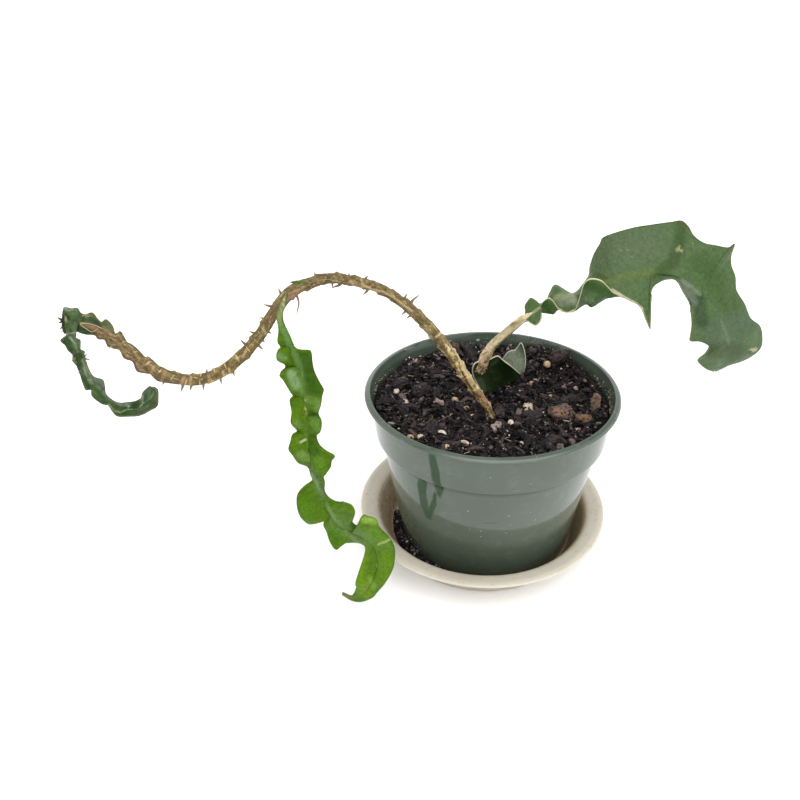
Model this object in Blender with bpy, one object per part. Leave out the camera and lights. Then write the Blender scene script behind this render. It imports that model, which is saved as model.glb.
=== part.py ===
"""A potted orchid cactus: a plastic pot of bark soil on its saucer, and the arching,
trailing and spreading stems of the plant. Metres, +Z up. The origin is on the saucer's
flat underside, below the pot's axis. +X is to the right seen from the front, -Y is the front.
"""

import math
import random

import bpy
from mathutils import Vector, noise

MM = 0.001
GAP = 0.35  # between neighbouring pieces, in mm as every size below

# Pot and saucer, turned pieces: (radius, height) round the section
ROUND_STEPS = 48
POT_HEIGHT = 109.3
POT_BASE = 2.7
POT_RIM = POT_BASE + POT_HEIGHT
POT_WALL = 1.5
LIP_RADIUS = 77.5
LIP_HEIGHT = 2.8
BAND_RADIUS = 73.9
SHOULDER_HEIGHT = 84.4
SHOULDER_RADIUS = 71.6
BODY_RADIUS = 68.1
FOOT_RADIUS = 56.2
FOOT_RING = 5.5
FLOOR_LIFT = 1.5
LIP_ROUNDING = 0.7
DRAIN_HOLES = 6
DRAIN_RADIUS = 4.0
DRAIN_CIRCLE = 42.0

SAUCER_OFFSET = -3.2  # the pot stands a little to the right in it
SAUCER_RIM_RADIUS = 80.9
SAUCER_RIM_HEIGHT = 24.2
SAUCER_LIP = 4.0
SAUCER_FOOT_RADIUS = 62.2
SAUCER_FLOOR = 2.4
SAUCER_WALL_TOP_RADIUS = 68.8
SAUCER_WALL_TOP = 21.4

# Soil surface: heights above the table
SOIL_MIDDLE = 98.0
SOIL_EDGE_RISE = 6.0
# Rise and spacing of its clods and of the finer lumps on them
CLODS = (2.2, 11)
FINE_LUMPS = (1.3, 6)
SOIL_RINGS = 11
SOIL_SECTORS = 38
# Low hills and dips: x, y, height, width
SOIL_HILLS = (
    (44, 48, 7.0, 20),
    (-44, 30, 3.0, 18),
    (12, 17, 3.5, 9),
    (0, -14, -2.5, 9),
    (30, -34, 1.5, 16),
    (-12, 58, 1.0, 9),
)
# Large pieces of bark on the soil: x, y, length, width, thickness, turn, lean in degrees
BARK_PIECES = (
    (50.5, 1, 32, 7, 5, 8, 4),
    (41, -17, 15, 13, 11, 20, 0),
    (53, -24, 12, 8, 5, -25, 10),
    (61, -15, 14, 6, 3.5, 70, 66),
    (-7, 60, 17, 8, 4, 132, 38),
    (-17, 62, 9, 6, 3.5, 95, 35),
    (-38, -30, 12, 9, 8, 60, 15),
    (24, -14, 15, 7, 5, -12, 6),
    (-42, 14, 13, 9, 7, 30, 0),
    (-52, -4, 16, 5, 4, -20, 6),
    (30, -46, 16, 7, 5, 15, 8),
    (8, 40, 15, 6, 5, -30, 5),
    (50, 40, 15, 9, 7, 25, 12),
)
# Mineral grit, about the size of a lentil: x, y, across
GRIT = (
    (42, 36, 5.2), (64, 20, 4.2), (39, 7, 3.8), (49, -8, 3.4), (10, -22, 4.2),
    (-21, 7, 4.6), (-15, -3, 3.6), (-12, -13, 3.4), (-1, -26, 3.6), (-32, -34, 5.6),
    (-30, -48, 5.0), (-50, -38, 4.6), (-45, -38, 4.2), (8, 17, 4.8), (21, 13, 3.8),
    (12, -46, 3.2), (30, 22, 4.6), (-26, 38, 3.6), (56, 12, 3.4), (-58, 12, 4.0),
)
SMALL_CHIPS = 32
CHIP_LENGTHS = (5, 10)
CHIP_RADIUS = 66  # the circle that they lie in
# Circles kept free of them round the stems: x, y, radius
CHIP_FREE = ((-1, -13, 9), (8, 18, 17))
CHIP_SEED = 7

# Crumbs that lie on the saucer's floor round the pot, from the left round the front
CRUMBS_FROM = 166
CRUMBS_TO = 284
CRUMBS_STEPS = 30

# The bare arching stem, from its buried end: x, y, z, radius
CANE = (
    (9, -9, 76, 1.6), (4.5, -10.5, 87, 1.6), (0.5, -12, 97, 1.7), (-6, -13, 109, 2.5),
    (-14.5, -14, 123, 2.8), (-26.5, -17, 145, 3.2), (-38, -21, 164.5, 3.6), (-51.5, -28, 183, 3.0),
    (-64, -35, 195, 2.8), (-76.5, -42, 202, 2.8), (-88, -50, 206.5, 2.8), (-97.5, -58, 207, 2.9),
    (-106, -65, 204, 3.0), (-113, -70, 197, 2.9), (-120.5, -73, 187, 2.8), (-129.5, -76, 178, 2.9),
    (-140, -79, 171, 2.9), (-150.5, -81, 168, 2.8), (-160.5, -82, 169.5, 2.7),
    (-170.5, -82, 175, 2.5), (-180.5, -80, 183.5, 2.3), (-190.5, -77, 190, 2.1),
    (-198, -74.5, 194, 1.7), (-203, -73.5, 195.6, 0.7),
)
BURIED_ROWS = 4  # the rows that reach through the soil
CANE_SIDES = 8
MARGIN_STEP = 0.5
SAME_PLACE = 0.2
WIDEST_STEP = 7.0
KNOT_SPACING = 10.5
KNOT_RISE = 0.45
KNOT_WIDTH = 0.4  # as a share of the spacing
RIDGES = 3
RIDGE_TURN = 0.05  # radians for each mm along the stem
SLIMMEST = 0.5
# Short aerial roots: distance along the cane, then from there to the tip
ROOTLETS = (
    (60, -3.5, -2.5, 1.5), (84, 4.0, 1.5, 2.5), (101, -3.6, 2.5, 2.8),
    (116, -4.2, -1, -5.0), (119, 5.4, -1, 7.9), (121, -4.2, -1, -5.6), (123, 3.0, -1, 4.6),
    (149, -3.2, -1, -7.0), (152, 2.0, 1, 4.6), (160, -1.0, 4, 3.8), (172, 1.0, -3, -4.2),
    (164, 4.5, -1, -8.8), (180, -1.5, 4.5, 2.5), (193, -1.0, -1, -15.0), (195, 7.5, -1, 5.0),
    (199, -1.2, -1, 6.0), (204, -6.9, -1, 3.0), (212, -5.4, -1, 2.2), (218, 5.0, -1, -1.6),
    (220, -5.2, -1, 4.2), (223, 4.6, -1, -1.8), (226, 5.6, -1, -3.0), (228, -4.4, -1, 5.2),
    (242, 1.8, -1, -5.0), (249, 1.6, -1, -4.9), (257, 0.4, -1, -5.2), (262, -0.8, -1, -5.0),
    (266, -1.2, -1, -6.2), (254, -0.6, 4.2, 2.6), (236, 1.2, 4.0, 2.8), (274, -1.8, -1, -5.2),
)
ROOTLET_RADIUS = 0.75
LONG_ROOTLET = 12
LONG_ROOTLET_RADIUS = 0.6

# The cane's flattened end: brown crenate wings, then a green end
WING_MIDRIB = (
    (-160.5, -82, 169.5), (-170.5, -82, 175), (-180.5, -80, 183.5), (-190.5, -77, 190),
    (-198, -74.5, 194), (-202.5, -73.5, 195.5),
)
WING_UPPER = (
    (-161, -81, 172), (-167.5, -80, 173.5), (-170.5, -79, 177), (-173.5, -78, 179.5),
    (-175, -78, 179), (-178, -77, 183), (-180.5, -77, 186), (-182, -77, 187), (-185, -74, 191),
    (-187, -74, 190), (-192, -76, 191.5), (-202.5, -73.3, 196.3),
)
WING_LOWER = (
    (-160, -83, 166.5), (-168.5, -84, 169), (-170.5, -84, 170.5), (-172.5, -83, 172.5),
    (-174, -83, 173), (-178.5, -83, 174.5), (-179.5, -83, 179.5), (-182.5, -84, 182),
    (-184, -83, 186), (-187, -83, 187), (-189.5, -82, 187.5), (-191, -80, 190),
    (-194, -80, 190.5), (-196, -78, 192.2), (-202.5, -73.7, 194.9),
)
END_MIDRIB = (
    (-186, -78.5, 187), (-191.5, -76.5, 190.7), (-198, -74.5, 194), (-203, -73.5, 195.6),
    (-207.5, -73, 196), (-211, -73, 196.3),
)
END_UPPER = (
    (-187, -76, 190), (-188.5, -73, 193.5), (-191.5, -71, 196), (-193.5, -72, 195.2),
    (-195.5, -71, 196.7), (-198, -69, 198.7), (-201.5, -69, 197.8), (-203.5, -69, 198.8),
    (-204.8, -68, 200.8), (-208.3, -67, 200.3), (-211.4, -67, 200.9), (-211.5, -69, 198),
)
END_LOWER = (
    (-187.5, -79, 187.2), (-193, -78, 189.6), (-196.5, -78, 191.5), (-199, -79, 192.3),
    (-202, -78, 192.5), (-204.5, -77, 193), (-207, -77, 192.5), (-210, -77, 192.3),
    (-211.3, -75, 195),
)
TIP_MIDRIB = (
    (-206.5, -74.5, 197), (-205.5, -80, 193.5), (-204, -83, 190), (-202, -87, 186.5),
    (-199.5, -90, 182), (-197.5, -92, 176.5), (-195, -94, 172), (-191.5, -95, 167),
    (-187, -96, 163), (-181.5, -96, 161), (-176, -96, 161.5), (-171.5, -97, 165),
    (-169, -97, 169), (-167.5, -97, 173.5),
)
TIP_LEFT = (
    (-209.5, -75, 196), (-208, -79, 192.5), (-211, -80, 190), (-208.5, -82, 188.5),
    (-207, -84, 187), (-204.5, -86, 185.5), (-204.2, -88, 183.5), (-202.5, -89, 181.5),
    (-201.5, -90, 177), (-200.5, -92, 173.5), (-199.5, -93, 171), (-197.3, -93, 171),
    (-197.5, -93, 168), (-195.5, -94, 166), (-192.5, -95, 164), (-190, -96, 164.5),
    (-188, -98, 162.5), (-186, -99, 160), (-180.5, -100, 160.5), (-174.5, -101, 161.5),
    (-169, -102, 164.5), (-165.5, -102, 166.5), (-164.5, -101, 170.5), (-164.7, -99, 173.5),
    (-167, -97, 174),
)
TIP_RIGHT = (
    (-203, -75, 196.5), (-203.5, -80, 192), (-201, -82, 191), (-201, -84, 187.5),
    (-199.5, -84, 186), (-199.5, -86, 184.5), (-198, -88, 183), (-197.5, -89, 181),
    (-196, -91, 178), (-195, -89, 175), (-193, -88, 173), (-192, -90, 171),
    (-191.5, -92, 168), (-189.5, -92, 164.5), (-186.5, -92, 162.8), (-182, -91, 162.5),
    (-179, -91, 163), (-176, -91, 164.7), (-174, -92, 168.5), (-169.5, -95, 173.2),
)

# The bright green branch that hangs from the arch
HANGING_MIDRIB = (
    (-109.5, -71, 203), (-110.5, -73, 195.5), (-109.5, -75, 188.5), (-108, -76, 182),
    (-105, -76, 174.5), (-103, -76, 166.5), (-102.5, -76, 156.5), (-102.5, -76, 145),
    (-103.5, -76, 133), (-103, -76, 120.5), (-102, -77, 111), (-100.5, -78, 102.5),
    (-99, -78, 91.5), (-96, -77, 81), (-91, -76, 71), (-83.5, -76, 64.5), (-76, -76, 59),
    (-71.5, -76, 50.5), (-71.5, -75, 38.5), (-75.5, -74, 25.5), (-80.5, -73, 15.5),
    (-86.5, -72, 9.5), (-94, -70, 11),
)
HANGING_LEFT = (
    (-111, -71, 203), (-112, -73, 195.5), (-111.5, -75, 190), (-112.5, -76, 184.5),
    (-111.5, -75, 181), (-113, -79, 180), (-113, -80, 176.5), (-110.5, -77, 173),
    (-110.7, -75, 169.5), (-113, -79, 168), (-111.5, -79, 165), (-109.5, -77, 158),
    (-108.5, -75, 154), (-110, -77, 152.5), (-109.5, -79, 147), (-110.5, -79, 140.5),
    (-108.5, -75, 133.5), (-111, -76, 131.5), (-112, -79, 129), (-113, -81, 126),
    (-111.5, -80, 121.5), (-109.5, -78, 115.5), (-105, -76, 111), (-104, -76, 106),
    (-103.5, -77, 103), (-108, -80, 101), (-111, -82, 98), (-112, -83, 92.5),
    (-111.5, -83, 85), (-109.5, -82, 79.5), (-107, -80, 75.5), (-104, -78, 76.5),
    (-99, -76, 77), (-100, -76, 71), (-98.5, -77, 66.5), (-97, -79, 61), (-94, -81, 57),
    (-91.5, -80, 58.5), (-88.5, -78, 59), (-84, -76, 57.5), (-80, -75, 55.5), (-78, -75, 52.5),
    (-79, -75, 46), (-82.5, -76, 35), (-85, -77, 26.5), (-84.8, -75, 21.5), (-87, -74, 14.5),
    (-89, -72.5, 11.5), (-93.8, -70, 12),
)
HANGING_RIGHT = (
    (-108, -71, 203), (-109, -73, 195.5), (-108, -75, 191.5), (-106, -77, 187.5),
    (-105, -78, 184.5), (-104, -77, 181.3), (-100.5, -79, 181.3), (-97, -81, 182),
    (-96.2, -81, 180), (-96.5, -79, 174), (-96, -78, 168.5), (-94, -79, 163.5),
    (-92.3, -80, 160), (-93.5, -79, 155.5), (-94.5, -79, 150.5), (-96.5, -76, 144),
    (-95, -79, 142), (-95, -80, 139), (-96, -79, 135), (-98.5, -76, 130.5), (-97.5, -78, 127),
    (-94.5, -80, 124.5), (-89.7, -82, 122), (-91.5, -81, 118), (-92.5, -80, 113.5),
    (-95, -79, 109), (-97, -77, 105), (-96.5, -78, 102), (-97.5, -76, 95.5), (-95.5, -77, 91.5),
    (-91, -79, 89.7), (-86, -81, 90.5), (-82.7, -82, 89), (-81.5, -82, 84.5), (-83, -80, 78),
    (-83.8, -77.5, 74), (-81.8, -76, 70), (-79.8, -78, 74.5), (-77.5, -81, 81.5), (-74.5, -81, 80.5),
    (-70.5, -80, 77.5), (-69, -79, 71), (-64.5, -79, 64.5), (-62, -79, 59), (-61, -78, 50.5),
    (-62.5, -78, 38.5), (-67.5, -77, 26), (-72, -75, 17.5), (-75.5, -74, 11.5),
    (-82.5, -73, 7), (-88.5, -72, 7.3), (-94, -70, 10),
)

# The small leaf-like joint at the soil: its two flaps rise from a fold that lies on the soil
BASE_FOLD = ((-0.5, 14, 97), (4.5, 15, 99), (10.5, 16.5, 101), (16, 18, 103.5), (22.5, 20, 108))
BASE_FRONT = (
    (-3.5, 13, 98.5), (-6.5, 12, 105.5), (-9.5, 11.5, 112), (-10.5, 11, 118), (-9, 10.5, 122.5),
    (-5, 10, 124.5), (-1, 9, 125.5), (4.5, 9, 128), (8.5, 10.5, 124), (14.5, 13, 118),
    (21.5, 17.8, 109),
)
BASE_REAR = (
    (2, 18, 99), (0, 22, 103), (2.5, 26, 107), (9.5, 27.5, 113.5), (13, 27.5, 119.5),
    (16, 27, 122), (18.5, 27, 122.5), (22, 27.5, 127), (24, 25.5, 123.5), (25, 23.5, 118),
    (24.7, 22, 112.5), (23.8, 21.8, 108.6),
)
BASE_STUB = ((6, 14.5, 76, 1.4), (2.5, 14, 88, 2.0), (-0.5, 13.5, 98, 2.4), (-1.5, 13, 101.5, 1.6))

# The woody stem that leaves it, and the broad joint at its end
STALK = (
    (-5.5, 11.6, 113.5, 1.6), (-4.6, 11.5, 119, 3.1), (-2.5, 11, 126, 2.9), (0.5, 9.5, 133.5, 2.4),
    (5, 7.5, 140, 2.3), (10, 4.5, 147, 2.2), (15, -1, 155.5, 2.0), (20, -3.2, 160, 1.4),
    (25, -4.8, 163.6, 0.6),
)
RIGHT_MIDRIB = (
    (14, 0, 154.5), (20, -3, 160), (26, -5, 164.5), (31, -6, 168.5), (36.5, -7, 171),
    (41.5, -7, 172.5), (46.5, -7, 174.5), (52.5, -8, 178), (60, -8, 181), (70, -8, 183.5),
    (81, -8, 184.5), (92, -8, 184), (102, -9, 181), (112, -10, 173), (120, -10, 165),
    (127, -10, 156), (133.5, -9, 145.5), (136.5, -8, 136.5), (135, -7, 128.5),
    (132.5, -6, 121.5),
)
RIGHT_UPPER = (
    (13.5, 1, 156), (18, 0, 159.5), (18, 2, 163.5), (19.5, 3, 166), (21.5, 4, 167.5),
    (24.5, 3, 166), (26.5, 0, 165.5), (30, 0, 168.5), (32, 3, 171), (35, 6, 174.2),
    (39, 5, 172.5), (43, 0, 170.7), (46.5, -1, 172.5), (50, 2, 175.5), (54, 6, 179.5),
    (55, 9, 184), (57, 11, 190.5), (60, 12, 196.5), (61, 12, 199.5), (65.5, 11, 202),
    (76.5, 10, 205.5), (88, 9, 207.5), (97, 9, 208.5), (102.5, 9, 209), (106.5, 8, 206),
    (109.5, 5, 201.5), (115, 3, 198), (121.5, 3, 196.5), (129, 3, 195), (132, 3, 197),
    (131, 2, 191), (131.5, 0, 185.5), (134.5, -1, 179.5), (136.5, -2, 171.5), (143, -2, 163),
    (149, -1, 153.5), (157, 1, 147), (161.5, 3, 138), (162, 3, 131), (157.5, 2, 126.5),
    (150.5, 0, 124), (144.5, -1, 123), (139, -3, 121.5), (134, -5, 120.5),
)
# The lower margin also has how far that half of the joint sags below a straight line
RIGHT_LOWER = (
    (15.5, -1.5, 154, 0), (18.5, -5, 157, 0), (20, -8, 157, 0), (22.5, -10, 156.5, 0),
    (25, -9, 158, 0), (26, -8, 161.5, 0), (25, -8, 166, 2), (24.5, -11, 171, 5),
    (27.5, -13, 175, 8), (30.5, -13, 173, 7), (34.5, -12, 167.5, 2), (38.5, -12, 165, 0),
    (42.5, -14, 167, 3), (43.2, -16, 172, 6), (43.8, -17.5, 178.5, 8), (44.8, -18.5, 185, 10),
    (47.5, -20, 188.5, 13), (53, -20, 187.5, 11), (57.5, -19, 183.5, 8), (61.5, -18, 179.5, 6),
    (67, -17, 176.5, 4), (72, -17, 173.5, 3.5), (76.5, -17.5, 171, 3), (79.5, -18.5, 166.5, 2),
    (81.5, -19.5, 162, 1), (84, -21, 157.5, 0), (83, -19, 163.5, 0), (83, -16.5, 171, 0),
    (83.5, -14, 175, 0), (85, -12, 178.5, 0), (89, -11, 181.5, 0), (93.5, -11, 183, 0),
    (97, -13, 183, 0), (100.5, -15, 178, 3), (104, -16, 172.5, 4), (106.5, -17, 165.5, 3),
    (108, -18, 158, 1), (108, -19, 152, 0), (108.5, -19, 148.5, 0), (114.5, -17, 147, 0),
    (120.5, -14, 143.5, 0), (123, -12.5, 140.5, 0), (120, -14, 136.5, 0), (116.5, -16, 134.5, 0),
    (120, -14, 130, 0), (125.5, -11, 125.5, 0), (131, -8, 122, 0),
)
SAG_DIRECTION = Vector((0, -0.4, -0.92))


def clear_scene():
    for obj in list(bpy.data.objects):
        bpy.data.objects.remove(obj, do_unlink=True)


def material(name, colour, roughness):
    made = bpy.data.materials.new(name)
    made.use_nodes = True
    shader = made.node_tree.nodes["Principled BSDF"]
    shader.inputs["Base Color"].default_value = (*colour, 1)
    shader.inputs["Roughness"].default_value = roughness
    made.diffuse_color = (*colour, 1)
    return made


def add_object(name, points, faces, finish=None):
    """A mesh object from points in mm, with its faces turned outwards."""
    mesh = bpy.data.meshes.new(name)
    mesh.from_pydata([tuple(c * MM for c in p) for p in points], [], faces)
    obj = bpy.data.objects.new(name, mesh)
    bpy.context.scene.collection.objects.link(obj)
    if finish:
        mesh.materials.append(finish)
    mesh.validate()
    return obj


def turned(name, section, centre_x, finish):
    """A piece turned round an upright axis. Its section starts and ends on the axis."""
    points = [(centre_x, 0, section[0][1])]
    faces = []
    rings = section[1:-1]
    for radius, height in rings:
        for k in range(ROUND_STEPS):
            angle = math.tau * k / ROUND_STEPS
            points.append((centre_x + radius * math.cos(angle), radius * math.sin(angle), height))
    points.append((centre_x, 0, section[-1][1]))
    top = len(points) - 1
    last = 1 + (len(rings) - 1) * ROUND_STEPS
    for k in range(ROUND_STEPS):
        after = (k + 1) % ROUND_STEPS
        faces.append((0, 1 + after, 1 + k))
        faces.append((top, last + k, last + after))
        for ring in range(len(rings) - 1):
            low = 1 + ring * ROUND_STEPS
            high = low + ROUND_STEPS
            faces.append((low + k, low + after, high + after, high + k))
    return add_object(name, points, faces, finish)


def path_points(rows, per_span):
    """A smooth curve through rows of numbers, with per_span steps between two of them."""
    rows = [Vector(row) for row in rows]
    padded = [2 * rows[0] - rows[1], *rows, 2 * rows[-1] - rows[-2]]
    made = []
    for k in range(1, len(padded) - 2):
        a, b, c, d = padded[k - 1 : k + 3]
        for step in range(per_span):
            t = step / per_span
            made.append(
                0.5 * (2 * b + (c - a) * t + (2 * a - 5 * b + 4 * c - d) * t * t
                       + (3 * b - a - 3 * c + d) * t ** 3)
            )
    made.append(rows[-1])
    return made


def frames_along(path):
    """At each point of a path, two directions across it that turn as little as they can."""
    tangents = [
        (path[min(k + 1, len(path) - 1)] - path[max(k - 1, 0)]).normalized()
        for k in range(len(path))
    ]
    side = tangents[0].orthogonal().normalized()
    frames = []
    for tangent in tangents:
        side = (side - tangent * side.dot(tangent)).normalized()
        frames.append((side, tangent.cross(side)))
    return frames


def lengths_along(path):
    lengths = [0.0]
    for before, after in zip(path, path[1:]):
        lengths.append(lengths[-1] + (after - before).length)
    return lengths


def tube(name, rows, per_span, sides, grow=0.0, knots=0.0):
    """A stem through rows of x, y, z and radius, closed at both ends, with slight knots."""
    rows4 = path_points(rows, per_span)
    path = [row.to_3d() for row in rows4]
    lengths = lengths_along(path)
    points = []
    for row, point, length, (side, up) in zip(rows4, path, lengths, frames_along(path)):
        phase = (length / KNOT_SPACING) % 1.0
        knot = knots * max(0.0, 1 - abs(phase - 0.5) * 2 / KNOT_WIDTH)
        for k in range(sides):
            angle = math.tau * k / sides
            ridge = 1 + knots * 0.12 * math.cos(RIDGES * angle + length * RIDGE_TURN)
            radius = max(row[3], SLIMMEST) * ridge + knot + grow
            points.append(point + radius * (math.cos(angle) * side + math.sin(angle) * up))
    faces = [tuple(range(sides))[::-1]]
    for ring in range(len(path) - 1):
        for k in range(sides):
            after = (k + 1) % sides
            low = ring * sides
            faces.append((low + k, low + after, low + sides + after, low + sides + k))
    faces.append(tuple(range(len(points) - sides, len(points))))
    return add_object(name, points, faces), path, lengths


def nearest_place(path, lengths, point):
    """How far along a path its nearest point to this one lies, from 0 to 1."""
    best = min(range(len(path)), key=lambda k: (path[k] - point).length_squared)
    return lengths[best] / lengths[-1]


def places_along(path, lengths, margin, least):
    """Where on the midrib each margin point belongs, rising all the way from 0 to 1."""
    raw = [nearest_place(path, lengths, Vector(point[:3])) for point in margin]
    raw[0] = 0.0
    for k in range(1, len(raw)):
        raw[k] = max(raw[k], raw[k - 1] + least)
    raw[-1] = 1.0
    for k in range(len(raw) - 2, 0, -1):
        raw[k] = min(raw[k], raw[k + 1] - least)
    return raw


def at_place(path, lengths, place):
    wanted = place * lengths[-1]
    for k in range(len(path) - 1):
        if lengths[k + 1] >= wanted:
            share = (wanted - lengths[k]) / max(lengths[k + 1] - lengths[k], 1e-9)
            return path[k].lerp(path[k + 1], share)
    return path[-1].copy()


def margin_at(margin, places, place):
    """The margin beside a place on the midrib: x, y, z and sag, on a curve through its points."""
    rows = [Vector((*row, 0)[:4]) for row in margin]
    for k in range(len(rows) - 1):
        if places[k + 1] >= place - 1e-9:
            break
    t = (place - places[k]) / (places[k + 1] - places[k])
    b, c = rows[k], rows[k + 1]
    a = rows[k - 1] if k else 2 * b - c
    d = rows[k + 2] if k + 2 < len(rows) else 2 * c - b
    return 0.5 * (2 * b + (c - a) * t + (2 * a - 5 * b + 4 * c - d) * t * t
                  + (3 * b - a - 3 * c + d) * t ** 3)


def blade(name, midrib, left, right, rib, edge, columns=2, closest=MARGIN_STEP, grow=0.0):
    """A leaf-like joint: a sheet between two margins, thick along its midrib.

    rib and edge are its full thickness there, and closest is how far apart along the
    midrib two points of a margin stand at least. Every cross-section is split in the
    same way on both faces.
    """
    path = path_points(midrib, 10)
    lengths = lengths_along(path)
    least = closest / lengths[-1]
    left_places = places_along(path, lengths, left, least)
    right_places = places_along(path, lengths, right, least)
    stations = []
    for place in sorted(left_places + right_places):
        if not stations or place - stations[-1] > SAME_PLACE / lengths[-1]:
            stations.append(place)
    stations[-1] = 1.0
    more = []
    for before, after in zip(stations, stations[1:]):
        parts = math.ceil((after - before) * lengths[-1] / WIDEST_STEP)
        more.extend(before + (after - before) * k / parts for k in range(parts))
    stations = [*more, 1.0]

    shares = [(columns - k) / columns for k in range(columns)]
    thick = [edge + (rib - edge) * (1 - share) ** 2 for share in (*shares, 0.0)]
    thick += thick[:-1][::-1]
    front, back = [], []
    step = 1.5 / lengths[-1]
    for place in stations:
        middle = at_place(path, lengths, place)
        ahead = at_place(path, lengths, min(place + step, 1))
        tangent = (ahead - at_place(path, lengths, max(place - step, 0))).normalized()
        halves = []
        for margin, places, side in ((left, left_places, 1), (right, right_places, -1)):
            found = margin_at(margin, places, place)
            across = found.to_3d() - middle
            reach = across + across.normalized() * grow
            sag = SAG_DIRECTION * found[3]
            half = []
            for share in shares:
                slope = across + sag * 4 * (1 - 2 * share)
                half.append((middle + reach * share + sag * 4 * share * (1 - share),
                             slope.cross(tangent).normalized() * side))
            halves.append(half)
        crest = (halves[0][-1][1] + halves[1][-1][1]).normalized()
        shift = tangent * grow * ((place == 1.0) - (place == 0.0))
        row = [*halves[0], (middle, crest), *halves[1][::-1]]
        for (point, normal), width in zip(row, thick):
            front.append(point + shift + normal * (width / 2 + grow))
            back.append(point + shift - normal * (width / 2 + grow))
    across_count = 2 * columns + 1
    total = len(front)
    faces = []
    for row in range(len(stations) - 1):
        for k in range(across_count - 1):
            a = row * across_count + k
            b, c, d = a + 1, a + across_count, a + across_count + 1
            faces += [(a, b, d), (a, d, c)]
            faces += [(total + a, total + d, total + b), (total + a, total + c, total + d)]
        for k, turn in ((0, 1), (across_count - 1, -1)):
            a = row * across_count + k
            c = a + across_count
            quad = (a, c, total + c, total + a)
            faces.append(quad[::turn])
    last = (len(stations) - 1) * across_count
    for k in range(across_count - 1):
        faces.append((k, total + k, total + k + 1, k + 1))
        faces.append((last + k, last + k + 1, total + last + k + 1, total + last + k))
    return add_object(name, front + back, faces)


def turn_faces_out(obj):
    """Turns all faces over when the mesh is inside out."""
    volume = 0.0
    obj.data.calc_loop_triangles()
    for triangle in obj.data.loop_triangles:
        a, b, c = (obj.data.vertices[k].co for k in triangle.vertices)
        volume += a.dot(b.cross(c))
    if volume < 0:
        obj.data.flip_normals()
    return obj


def apply_boolean(obj, operation, others, solver="EXACT"):
    """Joins or cuts with a list of closed objects, which are then removed."""
    for other in [obj, *others]:
        turn_faces_out(other)
    tools = bpy.data.collections.new("tools")
    for other in others:
        for owner in list(other.users_collection):
            owner.objects.unlink(other)
        tools.objects.link(other)
    cut = obj.modifiers.new("cut", "BOOLEAN")
    cut.operation = operation
    cut.solver = solver
    cut.operand_type = "COLLECTION"
    cut.collection = tools
    bpy.context.view_layer.update()
    graph = bpy.context.evaluated_depsgraph_get()
    result = bpy.data.meshes.new_from_object(obj.evaluated_get(graph), depsgraph=graph)
    obj.modifiers.clear()
    obj.data = result
    for other in others:
        bpy.data.objects.remove(other, do_unlink=True)
    bpy.data.collections.remove(tools)
    return obj


def keep_largest(obj):
    """Drops loose scraps that a cut leaves."""
    mesh = obj.data
    owner = list(range(len(mesh.vertices)))

    def root(k):
        while owner[k] != k:
            owner[k] = owner[owner[k]]
            k = owner[k]
        return k

    for a, b in (edge.vertices for edge in mesh.edges):
        owner[root(a)] = root(b)
    counts = {}
    for polygon in mesh.polygons:
        group = root(polygon.vertices[0])
        counts[group] = counts.get(group, 0) + 1
    kept = max(counts, key=counts.get)
    finish = mesh.materials[0] if mesh.materials else None
    numbers = {}
    faces = []
    for polygon in mesh.polygons:
        if root(polygon.vertices[0]) == kept:
            faces.append([numbers.setdefault(k, len(numbers)) for k in polygon.vertices])
    points = [mesh.vertices[k].co / MM for k in numbers]
    fresh = add_object(obj.name + "_kept", points, faces, finish)
    obj.data = fresh.data
    bpy.data.objects.remove(fresh, do_unlink=True)
    return obj


def finish_piece(obj, name, finish):
    obj.name = name
    obj.data.name = name
    obj.data.materials.clear()
    obj.data.materials.append(finish)
    obj.data.shade_smooth()
    obj.data.set_sharp_from_angle(angle=math.radians(40))
    return obj


def pot_radius(height, inner=False):
    """The pot wall's outer or inner radius at a height."""
    if height > SHOULDER_HEIGHT:
        share = (height - SHOULDER_HEIGHT) / (POT_RIM - LIP_HEIGHT - SHOULDER_HEIGHT)
        radius = SHOULDER_RADIUS + (BAND_RADIUS - SHOULDER_RADIUS) * min(share, 1)
    else:
        share = (height - POT_BASE) / (SHOULDER_HEIGHT - POT_BASE)
        radius = FOOT_RADIUS + (BODY_RADIUS - FOOT_RADIUS) * share
    return radius - POT_WALL * inner


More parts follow.
